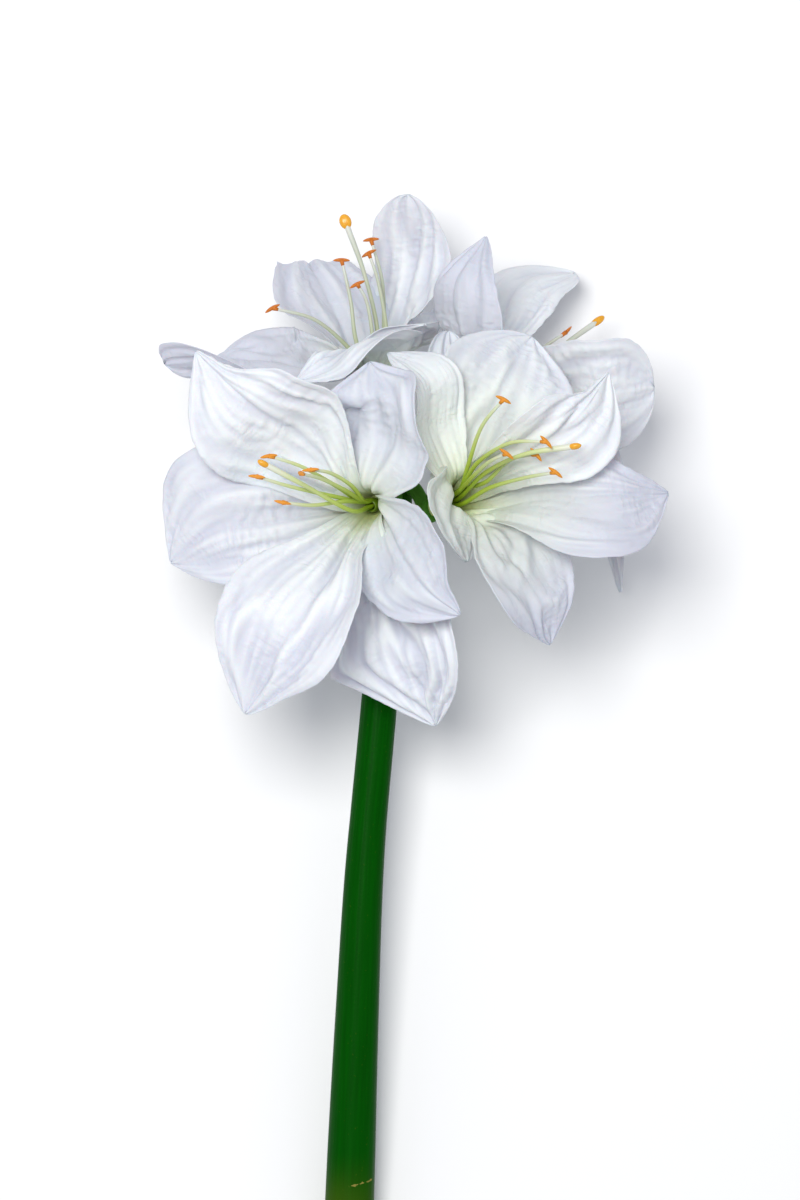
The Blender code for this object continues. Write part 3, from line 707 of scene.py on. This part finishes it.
@dataclass(frozen=True)
class MouldedPlastic:
    """Soft polythene, moulded as the filaments and styles: satin, and a little translucent.

    It is yellow-green at the base and fades to a pale tip, with a faint mottle.
    """

    name: str = "moulded_green_plastic"
    colours: tuple[str, ...] = ("#4E6A0C", "#90AE1C", "#ABC04C", "#C9D49A", "#DCDFCE")
    stops: tuple[float, ...] = (0.02, 0.12, 0.5, 0.85, 1.0)
    mottle_mm: float = 4.0

    def material(self) -> Material:
        """Make the material, its colours read along the run from base to tip.

        Returns:
            The material.
        """
        made = Finish(self.name)
        place = made.add("TexCoord", output="Object")
        run = made.add("Attribute", output="Fac", attribute_name="run")
        mottle = made.add("TexNoise", {"Vector": place, "Scale": OBJECT_MM / self.mottle_mm})
        colour = made.add("ValToRGB", {0: made.total((mottle, 0.06), start=run)})
        elements = colour.node.color_ramp.elements
        while len(elements) < len(self.stops):
            elements.new(0.5)
        for element, stop, tone in zip(elements, self.stops, self.colours):
            element.position = stop
            element.color = linear(tone)
        return made.wear(made.total((mottle, 0.1)), Base_Color=colour, Roughness=0.42,
                         Subsurface_Weight=0.1, Subsurface_Scale=0.002)


@dataclass(frozen=True)
class PaintedPlastic:
    """Moulded anthers and stigmas, dipped in orange paint that holds yellow grit.

    The paint is warm and uneven, and the grit stands up like pollen. Its grains are drawn at 0.5 mm,
    coarser than real grit of about 0.1 mm, so that they show.
    """

    name: str = "painted_orange_plastic"
    orange: str = "#E0760F"
    dark: str = "#B85606"
    yellow: str = "#F3AE2C"
    grain_mm: float = 0.5
    patch_mm: float = 2.5
    grain_height: float = 0.3
    roughness: float = 0.5

    def material(self) -> Material:
        """Make the material: grains in Object coordinates, yellower where they stand up.

        Returns:
            The material.
        """
        made = Finish(self.name)
        place = made.add("TexCoord", output="Object")
        grains = made.add("TexNoise", {"Vector": place, "Scale": OBJECT_MM / self.grain_mm, "Detail": 3.0})
        patch = made.add("TexNoise", {"Vector": place, "Scale": OBJECT_MM / self.patch_mm})
        yellow = made.add("Math", {0: grains, 1: 0.7, 2: 0.2}, operation="SMOOTH_MIN")
        colour = made.layered(self.dark, (made.total((patch, 0.8)), self.orange), (yellow, self.yellow))
        height = made.total((grains, self.grain_height))
        return made.wear(height, Base_Color=colour, Roughness=self.roughness)


@dataclass(frozen=True)
class SatinSkin:
    """Green polythene, drawn over the stem and its stalks as a satin skin.

    Drawing leaves fine lengthwise lines, and the skin has small specks, a tint at both ends, a dry nick
    near the foot, and a paler cut end. The nick is a ragged line at a height of the map, sloped by the
    way round, that shows within its reach of its middle. Lengths are in millimetres.
    """

    name: str
    green: str
    shade: str
    tint: str
    pith: str = "#A9B98A"
    nick: str = "#B79F55"
    nick_at: float = -317.5
    nick_slope: float = 0.27
    nick_middle: float = 18.5
    nick_reach: float = 5.0
    nick_width: float = 1.4
    nick_rag: float = 2.4
    rag_mm: float = 2.0
    line_mm: float = 1.2
    speck_mm: float = 1.2
    cloud_mm: float = 35.0
    roughness: float = 0.36

    def material(self) -> Material:
        """Make the material: lines along the run, specks, and the marks of tint, nick and cut.

        Returns:
            The material.
        """
        made = Finish(self.name)
        lay = made.add("UVMap")
        place = made.add("TexCoord", output="Object")
        tint, cut = (made.add("Attribute", output="Fac", attribute_name=mark) for mark in ("tint", "cut"))
        stretched = made.add("Mapping", {"Vector": lay, "Scale": (1.0, 0.03, 1.0)})
        lines = made.add("TexNoise", {"Vector": stretched, "Scale": MAP_MM / self.line_mm, "Detail": 3.0})
        cloud = made.add("TexNoise", {"Vector": place, "Scale": OBJECT_MM / self.cloud_mm})
        speck = made.add("TexNoise", {"Vector": place, "Scale": OBJECT_MM / self.speck_mm, "Detail": 1.0})
        dots = made.add("Math", {0: speck, 1: 0.74}, operation="GREATER_THAN")
        u, v = made.add("SeparateXYZ", {"Vector": lay}).node.outputs[:2]
        level = made.total((u, self.nick_slope), (v, -1.0), start=self.nick_at / MAP_MM)
        off = made.add("Math", {0: level}, operation="ABSOLUTE")
        rag = made.add("TexNoise", {"Vector": place, "Scale": OBJECT_MM / self.rag_mm})
        ragged = made.total((rag, self.nick_rag / MAP_MM), start=off)
        near = made.add("Math", {0: ragged, 1: self.nick_width / MAP_MM}, operation="LESS_THAN")
        reached = made.add("Math", {0: u, 1: self.nick_middle / MAP_MM, 2: self.nick_reach / MAP_MM},
                           operation="COMPARE")
        nick = made.total((near, made.total((reached, 0.5))))
        colour = made.layered(self.shade, (lines, self.green), (made.total((tint, cloud)), self.tint),
                              (made.total((dots, 0.2)), self.tint), (nick, self.nick), (cut, self.pith))
        rough = made.total((cloud, 0.12), start=self.roughness - 0.06)
        height = made.total((lines, 0.12), (speck, 0.05))
        return made.wear(height, Base_Color=colour, Roughness=rough, Specular_IOR_Level=0.03)


@dataclass
class Perianth:
    """Six tepals on one tube: each a thin curved blade with its own embossing.

    whorl_share is the angle about the axis, in radians, that the half width may take up, at four places
    along the tepal. nicks are the heights and pitches of the edge's ripples, and the names that end in
    mm are the pitches of the embossing's random patterns. A fade holds the distances from the root at
    which one of the throat's greens begins to fade and is gone.
    """

    bloom: Bloom
    rows: int = 110
    columns: int = 52
    claw_width: float = 4.6
    tip_width: float = 0.7
    tube_heights: Triple = (2.0, 13.0, 26.0)
    whorl_share: tuple[float, ...] = (1.0, 1.0, 1.4, 1.4)
    root_thickness: float = 1.0
    edge_thickness: float = 0.4
    midrib_width: float = 1.9
    sway_mm: tuple[float, float] = (40, 60)
    strength_mm: float = 26
    wander_mm: float = 34
    streak_mm: float = 5.5
    patch_mm: float = 45
    pucker_mm: float = 7.5
    nicks: tuple = ((0.18, 6.0), (0.08, 2.4))
    pale_fade: tuple[float, float] = (8, 50)
    blush_fade: tuple[float, float] = (45, 95)
    deep_fade: tuple[float, float] = (8, 30)
    hub_length: float = 10.0
    hub_radii: Triple = (5.0, 4.8, 4.4)
    hub_rows: int = 14
    hub_sides: int = 48

    def middle(self, index: int) -> tuple[Array, ...]:
        """Return one tepal's middle surface before it is embossed.

        The midrib leaves the tube at its own root angle and runs through the blade's points. Across it
        each side is an arc of the cup angle, as long as the half width, and the edge is ruffled. In the
        tube the arc runs round the bloom's axis, and beyond the funnel it takes the tepal's own cup. The
        half width is a power of a sine that peaks at widest, scaled on each side, on a narrow claw; near
        the axis it is held under the arc that a whorl of three leaves to each side of a tepal.

        Args:
            index: The tepal's number in its bloom.

        Returns:
            The grid of points, then s along it, t across it, and the half width, each on the grid.
        """
        tepal = self.bloom.tepals[index]
        foot, axis, front, side = self.bloom.directions()
        turn = math.radians(self.bloom.first_root_deg + 60 * index)
        root = math.cos(turn) * front + math.sin(turn) * side
        outward = square_to(tepal.blade[0] - foot, axis)
        near, half, far = (Whorl.INNER if index % 2 else Whorl.OUTER).value
        low, mid, high = self.tube_heights
        knots = [foot + low * axis + near * root, foot + mid * axis + half * root,
                 foot + high * axis + far * unit(0.6 * root + 0.4 * outward)]
        line = smooth_line([*knots, *tepal.blade], self.rows)
        s = np.linspace(0, 1, self.rows)[:, None]
        along = unit(np.gradient(line, axis=0))
        f = smoothstep(0.1, 0.5, s)
        across = np.cross(axis, unit(root * (1 - f) + outward * f))
        across = unit(across - np.sum(along * across, axis=1, keepdims=True) * along)
        inward = np.cross(along, across)
        roll = np.radians(eased((0, 0.2, 0.6, 1), (0, *tepal.roll), s))
        across, inward = (across * np.cos(roll) + inward * np.sin(roll),
                          inward * np.cos(roll) - across * np.sin(roll))
        t = np.linspace(-1, 1, self.columns + 1)[None]
        v = np.abs(t)
        left, right = (eased((0.1, 0.3, 0.5, 0.7, 0.9, 1.0), (1, *scales, scales[-1]), s)
                       for scales in (tepal.left, tepal.right))
        form = np.sin(np.pi * s ** (math.log(0.5) / math.log(tepal.widest))) ** tepal.blunt
        claw = self.claw_width * (1 - s) ** 3 + self.tip_width
        width = tepal.half_width * form * np.where(t > 0, left, right) + claw
        off_axis = np.linalg.norm(np.cross(line - foot, axis), axis=1)[:, None]
        room = eased((0, 0.2, 0.5, 1), self.whorl_share, s) * off_axis
        width = width / (1 + (width / room) ** 4) ** 0.25
        f = smoothstep(0, 0.26, s)
        own_cup = np.radians(eased((0, 0.22, 0.6, 1), (tepal.cup[0], *tepal.cup), s))
        cup = (1 - f) * width / off_axis + f * own_cup
        # A cup of no angle would divide by nothing.
        cup = np.where(np.abs(cup) < 0.001, 0.001, cup)
        height, waves, left_start, right_start = tepal.ruffle
        phase = waves * s + np.where(t > 0, left_start, right_start)
        ruffle = height * v ** 2.2 * np.sin(np.pi * s ** 0.8) * np.sin(2 * np.pi * phase)
        sideways = np.sign(t) * width * np.sin(cup * v) / cup
        lift = width * (1 - np.cos(cup * v)) / cup + ruffle
        grid = spread(line[:, None], across[:, None], inward[:, None], sideways, lift)
        return grid, *np.broadcast_arrays(s, t), width

    def embossing(self, index: int, s: Array, x: Array, y: Array, v: Array,
                  width: Array) -> tuple[Array, Array]:
        """Return how far the cloth stands up from the middle surface, in millimetres.

        The sum of a groove along the midrib, broad pleats, narrow ribs and fine broken streaks that run
        from root to tip, and puckers: short bumps across the run, in patches. All of it fades toward
        root and edge, and the ribs wander, come and go, and fade where they crowd together at the tip.

        Args:
            index: The tepal's number in its bloom.
            s: Place along the tepal, 0 to 1.
            x: Distance from the midrib.
            y: Distance along it.
            v: Share of the half width, 0 to 1.
            width: The half width.

        Returns:
            The height on the grid, and the share of painted light there: the relief's crests are painted
            whiter than its valleys.
        """
        tepal = self.bloom.tepals[index]
        seed = RELIEF_SEED + 10 * BLOOMS.index(self.bloom) + index
        within = smoothstep(0.08, 0.3, s) * (1 - smoothstep(0.8, 1.0, v)) * (1 - 0.6 * smoothstep(0.8, 1, s))
        groove = -tepal.groove * np.exp(-(x / self.midrib_width) ** 2)
        groove = groove * smoothstep(0.05, 0.25, s) * (1 - smoothstep(0.6, 0.98, s))
        shift = 0.35 * ripples(x / self.sway_mm[0], y / self.sway_mm[1], 1.0, seed)
        pleat = tepal.pleat_height * np.cos(2 * np.pi * (tepal.pleats * v + shift + 0.5)) * within
        strength = smoothstep(-0.9, 1.1, ripples(x, y * 0.6, self.strength_mm, seed + 3))
        strength = strength * smoothstep(1.0, 3.2, width / tepal.ribs) * (1 - smoothstep(0.72, 0.95, s))
        wander = 0.6 * shift + 0.08 * ripples(x, y, self.wander_mm, seed + 4)
        rib = tepal.rib_height * strength * np.cos(2 * np.pi * (tepal.ribs * v + wander)) * within
        even = x / width * width.max()
        streak = tepal.streak_height * ripples(even, y * 0.13, self.streak_mm, seed + 5, 15) * within
        patch = smoothstep(-0.3, 0.9, ripples(x, y, self.patch_mm, seed + 1))
        pucker = 0.7 * ripples(x, y * 1.6, self.pucker_mm, seed + 2) * patch * smoothstep(0.2, 0.5, s)
        pucker = tepal.pucker_height * pucker * within
        # Painted light: the relief's crests get a whiter share and its valleys a darker one.
        bright = 0.35 * pleat + 0.6 * groove + rib + 1.6 * streak + 0.5 * pucker
        return groove + pleat + rib + streak + pucker, smoothstep(-0.9, 0.9, bright)

    def shell(self, index: int) -> Surface:
        """Return one tepal as a closed shell: the middle surface, embossed and given its thickness.

        Each row runs over the upper face and back under the lower one. The thickness eases from the
        root's to the edge's, and the edge is nicked by a seeded ripple.

        Args:
            index: The tepal's number in its bloom.

        Returns:
            The shell, mapped by the distances across and along, with the marks that the cloth reads.
        """
        grid, s, t, width = self.middle(index)
        v = np.abs(t)
        x = t * width
        y = np.broadcast_to(run_along(grid[:, self.columns // 2])[:, None], t.shape)
        seed = EDGE_SEED + 10 * BLOOMS.index(self.bloom) + index
        nick = sum(height * ripples(y, 20 * np.sign(t), pitch, seed + k)
                   for k, (height, pitch) in enumerate(self.nicks))
        nick = nick * v ** 8 * smoothstep(0.2, 0.4, s)
        along, sideways = unit(np.gradient(grid, axis=0)), unit(np.gradient(grid, axis=1))
        grid = grid + (nick * np.sign(t))[..., None] * sideways
        height, crest = self.embossing(index, s, x, y, v, width)
        grid = grid + height[..., None] * unit(np.cross(along, sideways))
        normal = unit(np.cross(*np.gradient(grid, axis=(0, 1))))
        thick = (self.root_thickness - self.edge_thickness) * (1 - s) ** 2 * (1 - v ** 2)
        thick = (self.edge_thickness + thick) * (1 - 0.35 * smoothstep(0.9, 1.0, v))
        half = 0.5 * thick[..., None] * normal
        ring = np.concatenate([grid + half, (grid - half)[:, ::-1]], axis=1)
        rows, sides = ring.shape[:2]
        k = np.arange(self.columns)
        below = sides - 1 - k
        foot = np.stack([k, k + 1, below - 1, below], -1)
        head = foot[:, ::-1] + (rows - 1) * sides

        def carried(values: Array) -> Array:
            """Return values of the middle surface at every point of the shell."""
            return np.concatenate([values, values[:, ::-1]], axis=1).ravel()

        is_below = np.concatenate([np.zeros_like(s), np.ones_like(s)], axis=1).ravel()
        reach = y + 0.35 * np.abs(x)
        pale = 0.5 * (1 - smoothstep(*self.pale_fade, reach))
        blush = self.bloom.blush * (1 - smoothstep(*self.blush_fade, reach))
        deep = 0.9 * (1 - smoothstep(*self.deep_fade, reach))
        # Painted light and shade: crests whiter, valleys cooler, turned over below, cooled by the tepal's
        # shade.
        marks = {"across": carried(t * width / width.max()), "throat": carried(pale + blush),
                 "deep": carried(deep) * (1 - 0.2 * is_below),
                 "painted_fold_shading": np.abs(carried(crest) - is_below) - self.bloom.tepals[index].shade}
        uv = np.stack([carried(x) / MAP_MM, carried(y) / MAP_MM], -1)
        return Surface(ring.reshape(-1, 3), [wrapped(rows, sides)[:, ::-1], foot, head], uv, marks)

    def tube(self) -> Surface:
        """Build the floral tube's solid foot, faintly six-sided, that the tepals spring from.

        Its radius eases through the hub's three, and its lower end is rounded by a power of the height.

        Returns:
            The tube, with the marks that the cloth reads.
        """
        foot, axis, _, _ = self.bloom.directions()
        h = np.linspace(0, 1, self.hub_rows)
        line = foot + (self.hub_length * h)[:, None] * axis
        radii = eased((0, 0.5, 1), self.hub_radii, h) * np.sqrt(np.clip(1 - (0.96 * (1 - h)) ** 12, 0.1, 1))
        marks = {"across": h * 0, "throat": h * 0 + 0.9, "deep": 0.85 - 0.1 * h, "painted_fold_shading": h * 0 + 0.5}
        return swept(line, radii, self.hub_sides, marks, 1 + 0.03 * np.cos(6 * around(self.hub_sides)))

    def build(self, cloth: Material) -> None:
        """Build the bloom's petals as one piece that stands for the perianth's node.

        Args:
            cloth: Their finish.
        """
        shells = [self.shell(index) for index in range(len(self.bloom.tepals))]
        name = self.bloom.name
        Surface.joined([*shells, self.tube()]).piece(name + "_petals", cloth, "petal", name + "_perianth")


def oval(centre: Array, long_axis: Array | Triple, flat_axis: Array, size: Triple,
         groove: float, bend: float, taper: float) -> Surface:
    """Return a grooved oval body, such as an anther: rings along its length, a point at each end.

    A ring's radius is a power of 1 − a², a being the share of the half length, and the groove pulls
    the side along the flat axis in. The ends are bent back by the bend times a².

    Args:
        centre: Its middle.
        long_axis: The direction of its length.
        flat_axis: The direction that its groove faces.
        size: Length, width and depth.
        groove: Depth of the groove as a share of the radius.
        bend: How far its ends bend back.
        taper: The power, one half for a round end and more for a pointed one.

    Returns:
        The closed body.
    """
    length, width, depth = size
    long_axis = unit(long_axis)
    flat_axis = square_to(flat_axis, long_axis)
    rows, sides, end_angle, groove_angle = 22, 20, 0.12, 0.45
    a = -np.cos(np.linspace(end_angle, np.pi - end_angle, rows))[:, None]
    angle = around(sides)
    radius = (1 - a ** 2) ** taper * (1 - groove * np.exp(-((angle - np.pi / 2) / groove_angle) ** 2))
    middles = centre + (a * length / 2)[..., None] * long_axis
    ring = spread(middles, np.cross(long_axis, flat_axis), flat_axis,
                  radius * np.cos(angle) * width / 2, radius * np.sin(angle) * depth / 2 - bend * a ** 2)
    ends = [centre + sign * length / 2 * long_axis - bend * flat_axis for sign in (-1, 1)]
    body = closed(ring, ends, (angle, a))
    # The rings run the other way round than a sweep's, so their faces are turned over.
    body.faces = [block[:, ::-1] for block in body.faces]
    return body


@dataclass
class Stamens:
    """Five filaments that rise from the throat on one collar, each with an anther across its tip.

    An anther is a pointed bar on an orange stub, which is the painted end of the filament. The anther
    shape is its groove, its bend and its taper.
    """

    bloom: Bloom
    seat: float = 10.3
    collar_radii: tuple[float, float] = (1.6, 3.2)
    collar_length: float = 6.0
    collar_turns: int = 24
    collar_sides: int = 16
    heights: tuple[float, float] = (3.0, 12.0)
    radii: tuple[float, ...] = (1.05, 1.0, 0.85, 0.7)
    rings: int = 48
    sides: int = 14
    anther_size: Triple = (7.6, 1.6, 1.9)
    anther_shape: Triple = (0.35, 0.35, 0.62)
    stub_radii: Triple = (0.74, 0.95, 1.1)
    stub_sides: int = 12

    def line(self, points: Points) -> Array:
        """Lead a filament up out of the collar on its own side, then through its points.

        Args:
            points: The points that it passes through.

        Returns:
            Its middle line.
        """
        foot, axis, _, _ = self.bloom.directions()
        outward = square_to(points[0] - foot, axis)
        collar = foot + self.seat * axis
        middle = 0.5 * sum(self.collar_radii)
        low, high = self.heights
        knots = [collar + low * axis + middle * outward, collar + high * axis + (middle + 1) * outward]
        return smooth_line([*knots, *points], self.rings)

    def collar(self) -> Surface:
        """Build the collar: a ring of round section, swept once round the axis.

        Returns:
            The collar, at the start of the filaments' run.
        """
        foot, axis, front, side = self.bloom.directions()
        turn, angle = around(self.collar_turns).T, around(self.collar_sides)
        inner, outer = self.collar_radii
        radius = 0.5 * (inner + outer) + 0.5 * (outer - inner) * np.cos(angle)
        height = self.seat + 0.5 * self.collar_length * (1 + np.sin(angle))
        middles = foot + height[..., None] * axis
        ring = spread(middles, front, side, radius * np.cos(turn), radius * np.sin(turn))
        count = self.collar_turns * self.collar_sides
        # The ring after the last is the first again, and the faces are turned over.
        quads = wrapped(self.collar_turns + 1, self.collar_sides)[:, [0, 3, 2, 1]] % count
        uv = np.stack(np.broadcast_arrays(turn, angle), -1).reshape(-1, 2)
        return Surface(ring.reshape(-1, 3), [quads], uv, {"run": np.zeros(count)})

    def build(self, plastic: Material, paint: Material) -> None:
        """Build the filaments, which stand for the stamens' node, and the anthers on them.

        Args:
            plastic: The filaments' finish.
            paint: The anthers' finish.
        """
        filaments, anthers = [self.collar()], []
        run = np.linspace(0, 1, self.rings)
        radii = eased((0, 0.33, 0.67, 1), self.radii, run)
        for points, bar in self.bloom.stamens:
            line = self.line(points)
            filaments.append(swept(line, radii, self.sides, {"run": run}))
            anthers.append(oval(line[-1], bar, line[-1] - line[-2], self.anther_size, *self.anther_shape))
            anthers.append(swept(line[-3:], self.stub_radii, self.stub_sides))
        name = self.bloom.name
        Surface.joined(filaments).piece(name + "_filaments", plastic, "stamen", name + "_stamens")
        Surface.joined(anthers).piece(name + "_anthers", paint, "stamen")


@dataclass
class Pistil:
    """The style, longer and whiter than the filaments, with its rounded stigma.

    The stigma's shape is its groove, its bend and its taper.
    """

    bloom: Bloom
    seat: float = 10.3
    rise: float = 8.0
    radii: tuple[float, ...] = (1.1, 1.0, 0.95, 1.35)
    rings: int = 60
    sides: int = 14
    stigma_seat: float = 1.2
    stigma_shape: Triple = (0.18, 0.0, 0.5)

    def build(self, plastic: Material, paint: Material) -> None:
        """Build the style, which stands for the pistil's node, and the stigma on it.

        Args:
            plastic: The style's finish.
            paint: The stigma's finish.
        """
        foot, axis, front, _ = self.bloom.directions()
        start = foot + self.seat * axis
        line = smooth_line([start, start + self.rise * axis, *self.bloom.style], self.rings)
        run = np.linspace(0, 1, self.rings)
        tube = swept(line, eased((0, 0.33, 0.67, 1), self.radii, run), self.sides, {"run": run})
        along = unit(line[-1] - line[-2])
        tip = line[-1] + self.stigma_seat * along
        name = self.bloom.name
        tube.piece(name + "_style", plastic, "pistil", name + "_pistil")
        stigma = oval(tip, along, front, self.bloom.stigma, *self.stigma_shape)
        stigma.piece(name + "_stigma", paint, "pistil")


@dataclass
class Pedicel:
    """The short stalk under one bloom, swelling into the three-sided ovary below the floral tube."""

    bloom: Bloom
    dome_radius: float = 9.0
    sunk: float = 0.1
    radius: float = 3.2
    straight: float = 2.5
    drop: float = 4.0
    ovary_radius: float = 5.4
    ovary_length: float = 13.0
    rings: int = 54
    sides: int = 36

    def build(self, skin: Material) -> None:
        """Build the stalk, which stands for the pedicel's node.

        Its radius is the stalk's, plus a power of a sine over the ovary's length. Three lobes stand
        out by a twentieth of the radius where the ovary is widest.

        Args:
            skin: Its finish.
        """
        foot, axis, _, _ = self.bloom.directions()
        away = unit((foot[0], max(foot[1], -self.drop), foot[2]))
        start = (self.dome_radius + self.sunk) * away
        end = foot - self.sunk * axis
        leave = start + self.straight * away
        meet = end - 2 * self.straight * axis
        line = smooth_line([start, leave, 0.5 * (leave + meet), meet, end], self.rings)
        share = np.linspace(0, 1, self.rings)
        swell = np.clip(1 - (1 - share) * run_along(line)[-1] / self.ovary_length, 0, 1)
        plump = np.sin(0.58 * math.pi * swell) ** 1.5
        radii = self.radius + (self.ovary_radius - self.radius) * plump
        lobes = 1 + 0.05 * plump[:, None] * np.cos(3 * around(self.sides))
        marks = {"tint": smoothstep(0.0, 0.3, share) * 0.2, "cut": share * 0}
        name = self.bloom.name
        stalk = swept(line, radii, self.sides, marks, lobes)
        stalk.piece(name + "_stalk", skin, "pedicel", name + "_pedicel")


@dataclass
class Scape:
    """The leafless stem: a tapering, slightly bent rod with a flat cut end and a domed top.

    cut holds the rings from the cut's middle to its rim: each ring's share of the radius, how far it is
    sunk into the stem, and its share of pith.
    """

    line: Points = ((-22, -370, 0), (-20, -312, 0), (-17, -238, 0), (-13.5, -170, 0), (-7, -97, 0),
                    (0, -6, 0))
    radii: tuple[float, ...] = (11.4, 10.7, 9.45, 8.3, 8.0, 7.7)
    cut: Points = ((0.15, 0.5, 1), (0.4, 0.45, 1), (0.65, 0.35, 1), (0.85, 0.15, 1), (0.93, 0, 1),
                   (0.98, 0.12, 0.7), (1, 0.5, 0.15))
    dome_radius: float = 9.0
    dome_rings: int = 26
    rows: int = 240
    sides: int = 64

    def build(self, skin: Material) -> None:
        """Build the stem, which stands for the scape's node.

        Rings run in from the cut's middle to its rim, along the stem, and over the dome. All of them
        stand square to the cut's direction. Two shallow flats run down the skin.

        Args:
            skin: Its finish.
        """
        line = smooth_line(self.line, self.rows)
        share = np.linspace(0, 1, self.rows)
        radii = np.interp(share, np.linspace(0, 1, len(self.radii)), self.radii)
        back = unit(line[0] - line[1])
        size, sunk, pith = np.array(self.cut).T
        # The first rings along the stem would lie within the rim's turned edge.
        body = slice(3, None)
        turn = np.radians(np.linspace(-24, 86, self.dome_rings))
        dome = np.stack([0 * turn, self.dome_radius * np.sin(turn), 0 * turn], -1)
        centres = np.vstack([line[0] - sunk[:, None] * back, line[body], dome])
        radii = np.concatenate([radii[0] * size, radii[body], self.dome_radius * np.cos(turn)])
        along = np.concatenate([np.zeros(len(size)), share[body], np.ones(self.dome_rings)])
        marks = {"tint": 1.8 * (1 - smoothstep(0.04, 0.2, along)) + 0.35 * smoothstep(0.86, 0.97, along),
                 "cut": np.concatenate([pith, np.zeros(len(centres) - len(pith))])}
        angle = around(self.sides)
        radius = radii[:, None] * (1 + 0.012 * np.cos(2 * angle + 0.6) + 0.006 * np.cos(5 * angle))
        up = np.array([0.0, 0.0, 1.0])
        across = unit(np.cross(back, up))
        ring = spread(centres[:, None], across, up, radius * np.cos(angle), radius * np.sin(angle))
        uv = angle * radii.mean() / MAP_MM, centres[:, 1:2] / MAP_MM
        closed(ring, [centres[:1], centres[-1:]], uv, marks).piece("stem", skin, "scape", "scape")


@dataclass(frozen=True)
class Light:
    """A square area light: its place and side in metres, its power in watts and its hex colour."""

    name: str
    place: Triple
    side: float
    power: float
    tone: str


@dataclass
class Studio:
    """A pale floor, a soft key light from the upper left, an even surround, and the camera."""

    eye: Triple = (2.25, -51.75, 1600.0)
    view_mm: float = 270.0
    sensor_mm: float = 36.0
    floor_side: float = 6.0
    cloud_mm: float = 500.0
    surround: float = 0.58
    aim: Triple = (0, 0.12, 0.08)
    lights: tuple[Light, ...] = (Light("key", (-0.28, 0.15, 1.62), 0.6, 18.1, "#FFFEFA"),
                                 Light("fill", (0.6, 0.2, 1.5), 0.9, 0.6, "#F4F7FF"))

    def floor(self) -> None:
        """Lay the floor: plain matt white card, faintly uneven in tone."""
        half = self.floor_side / 2
        mesh = bpy.data.meshes.new("floor")
        mesh.from_pydata([(-half, -half, 0), (half, -half, 0), (half, half, 0), (-half, half, 0)], [],
                         [(0, 1, 2, 3)])
        made = Finish("matt_white_card")
        place = made.add("TexCoord", output="Object")
        cloud = made.add("TexNoise", {"Vector": place, "Scale": OBJECT_MM / self.cloud_mm})
        colour = made.layered("#FAFAFB", (cloud, "#F7F7F9"))
        mesh.materials.append(made.wear(Base_Color=colour, Roughness=0.9, Specular_IOR_Level=0.1))
        thing = bpy.data.objects.new("floor", mesh)
        bpy.context.scene.collection.objects.link(thing)
        thing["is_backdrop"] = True

    def light(self, light: Light) -> None:
        """Add an area light that faces the blooms.

        Args:
            light: Its place, size, power and colour.
        """
        data = bpy.data.lights.new(light.name, "AREA")
        data.energy = light.power
        data.size = light.side
        data.color = linear(light.tone)[:3]
        lamp = bpy.data.objects.new(light.name, data)
        lamp.location = light.place
        aim = Vector(self.aim) - Vector(light.place)
        lamp.rotation_euler = aim.to_track_quat("-Z", "Y").to_euler()
        bpy.context.scene.collection.objects.link(lamp)

    def camera(self) -> None:
        """Set the camera above the flower, square to the plane that the photograph shows."""
        data = bpy.data.cameras.new("camera")
        data.sensor_width = self.sensor_mm
        data.lens = self.sensor_mm * self.eye[2] / (2 * self.view_mm)
        data.clip_end = 20.0
        eye = bpy.data.objects.new("camera", data)
        eye.location = LIE.place(np.array(self.eye))
        eye.rotation_euler = Matrix(LIE.turn().tolist()).to_euler()
        bpy.context.scene.collection.objects.link(eye)
        bpy.context.scene.camera = eye

    def build(self) -> None:
        """Set up the whole studio."""
        self.floor()
        for light in self.lights:
            self.light(light)
        world = bpy.data.worlds.new("surround")
        world.use_nodes = True
        ground = world.node_tree.nodes["Background"]
        ground.inputs[0].default_value = linear("#EAEDF4")
        ground.inputs[1].default_value = self.surround
        bpy.context.scene.world = world
        bpy.context.scene.view_settings.view_transform = "Standard"
        self.camera()


def main() -> None:
    """Build the studio and the flower."""
    logging.basicConfig(level=logging.INFO, format="%(message)s")
    Studio().build()
    petal = PressedCloth().material()
    fresh = MouldedPlastic().material()
    # The back blooms' filaments and styles are a duller, greyer green, and their anthers a darker
    # red-orange.
    dull = MouldedPlastic("moulded_dull_green_plastic",
                          ("#7C8B4A", "#A4B07C", "#B2BA9C", "#BEC4B2", "#D2D5CC")).material()
    anther = PaintedPlastic().material()
    back_anther = PaintedPlastic("painted_red_orange_plastic", "#CC5C0C", "#9A3C06", "#E08A22").material()
    stigma = PaintedPlastic("glossy_orange_plastic", "#EE9512", "#C4620A", "#F9C63E",
                            grain_height=0.04, roughness=0.25).material()
    leaf = SatinSkin("satin_leaf_plastic", "#3F7A22", "#2F641A", "#86A24C", roughness=0.45).material()
    skin = SatinSkin("satin_green_plastic", "#035203", "#023A02", "#4E5F14").material()
    Scape().build(skin)
    for bloom in BLOOMS:
        plastic, paint = (dull, back_anther) if bloom.name.startswith("back") else (fresh, anther)
        Pedicel(bloom).build(leaf)
        Perianth(bloom).build(petal)
        Stamens(bloom).build(plastic, paint)
        Pistil(bloom).build(plastic, stigma)
    boxes = {"cad": cad_box, "visual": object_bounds()}
    boxes = {key: [[float(c) for c in corner] for corner in box] for key, box in boxes.items()}
    log.info("boxes: %s", boxes)


if __name__ == "__main__":
    main()
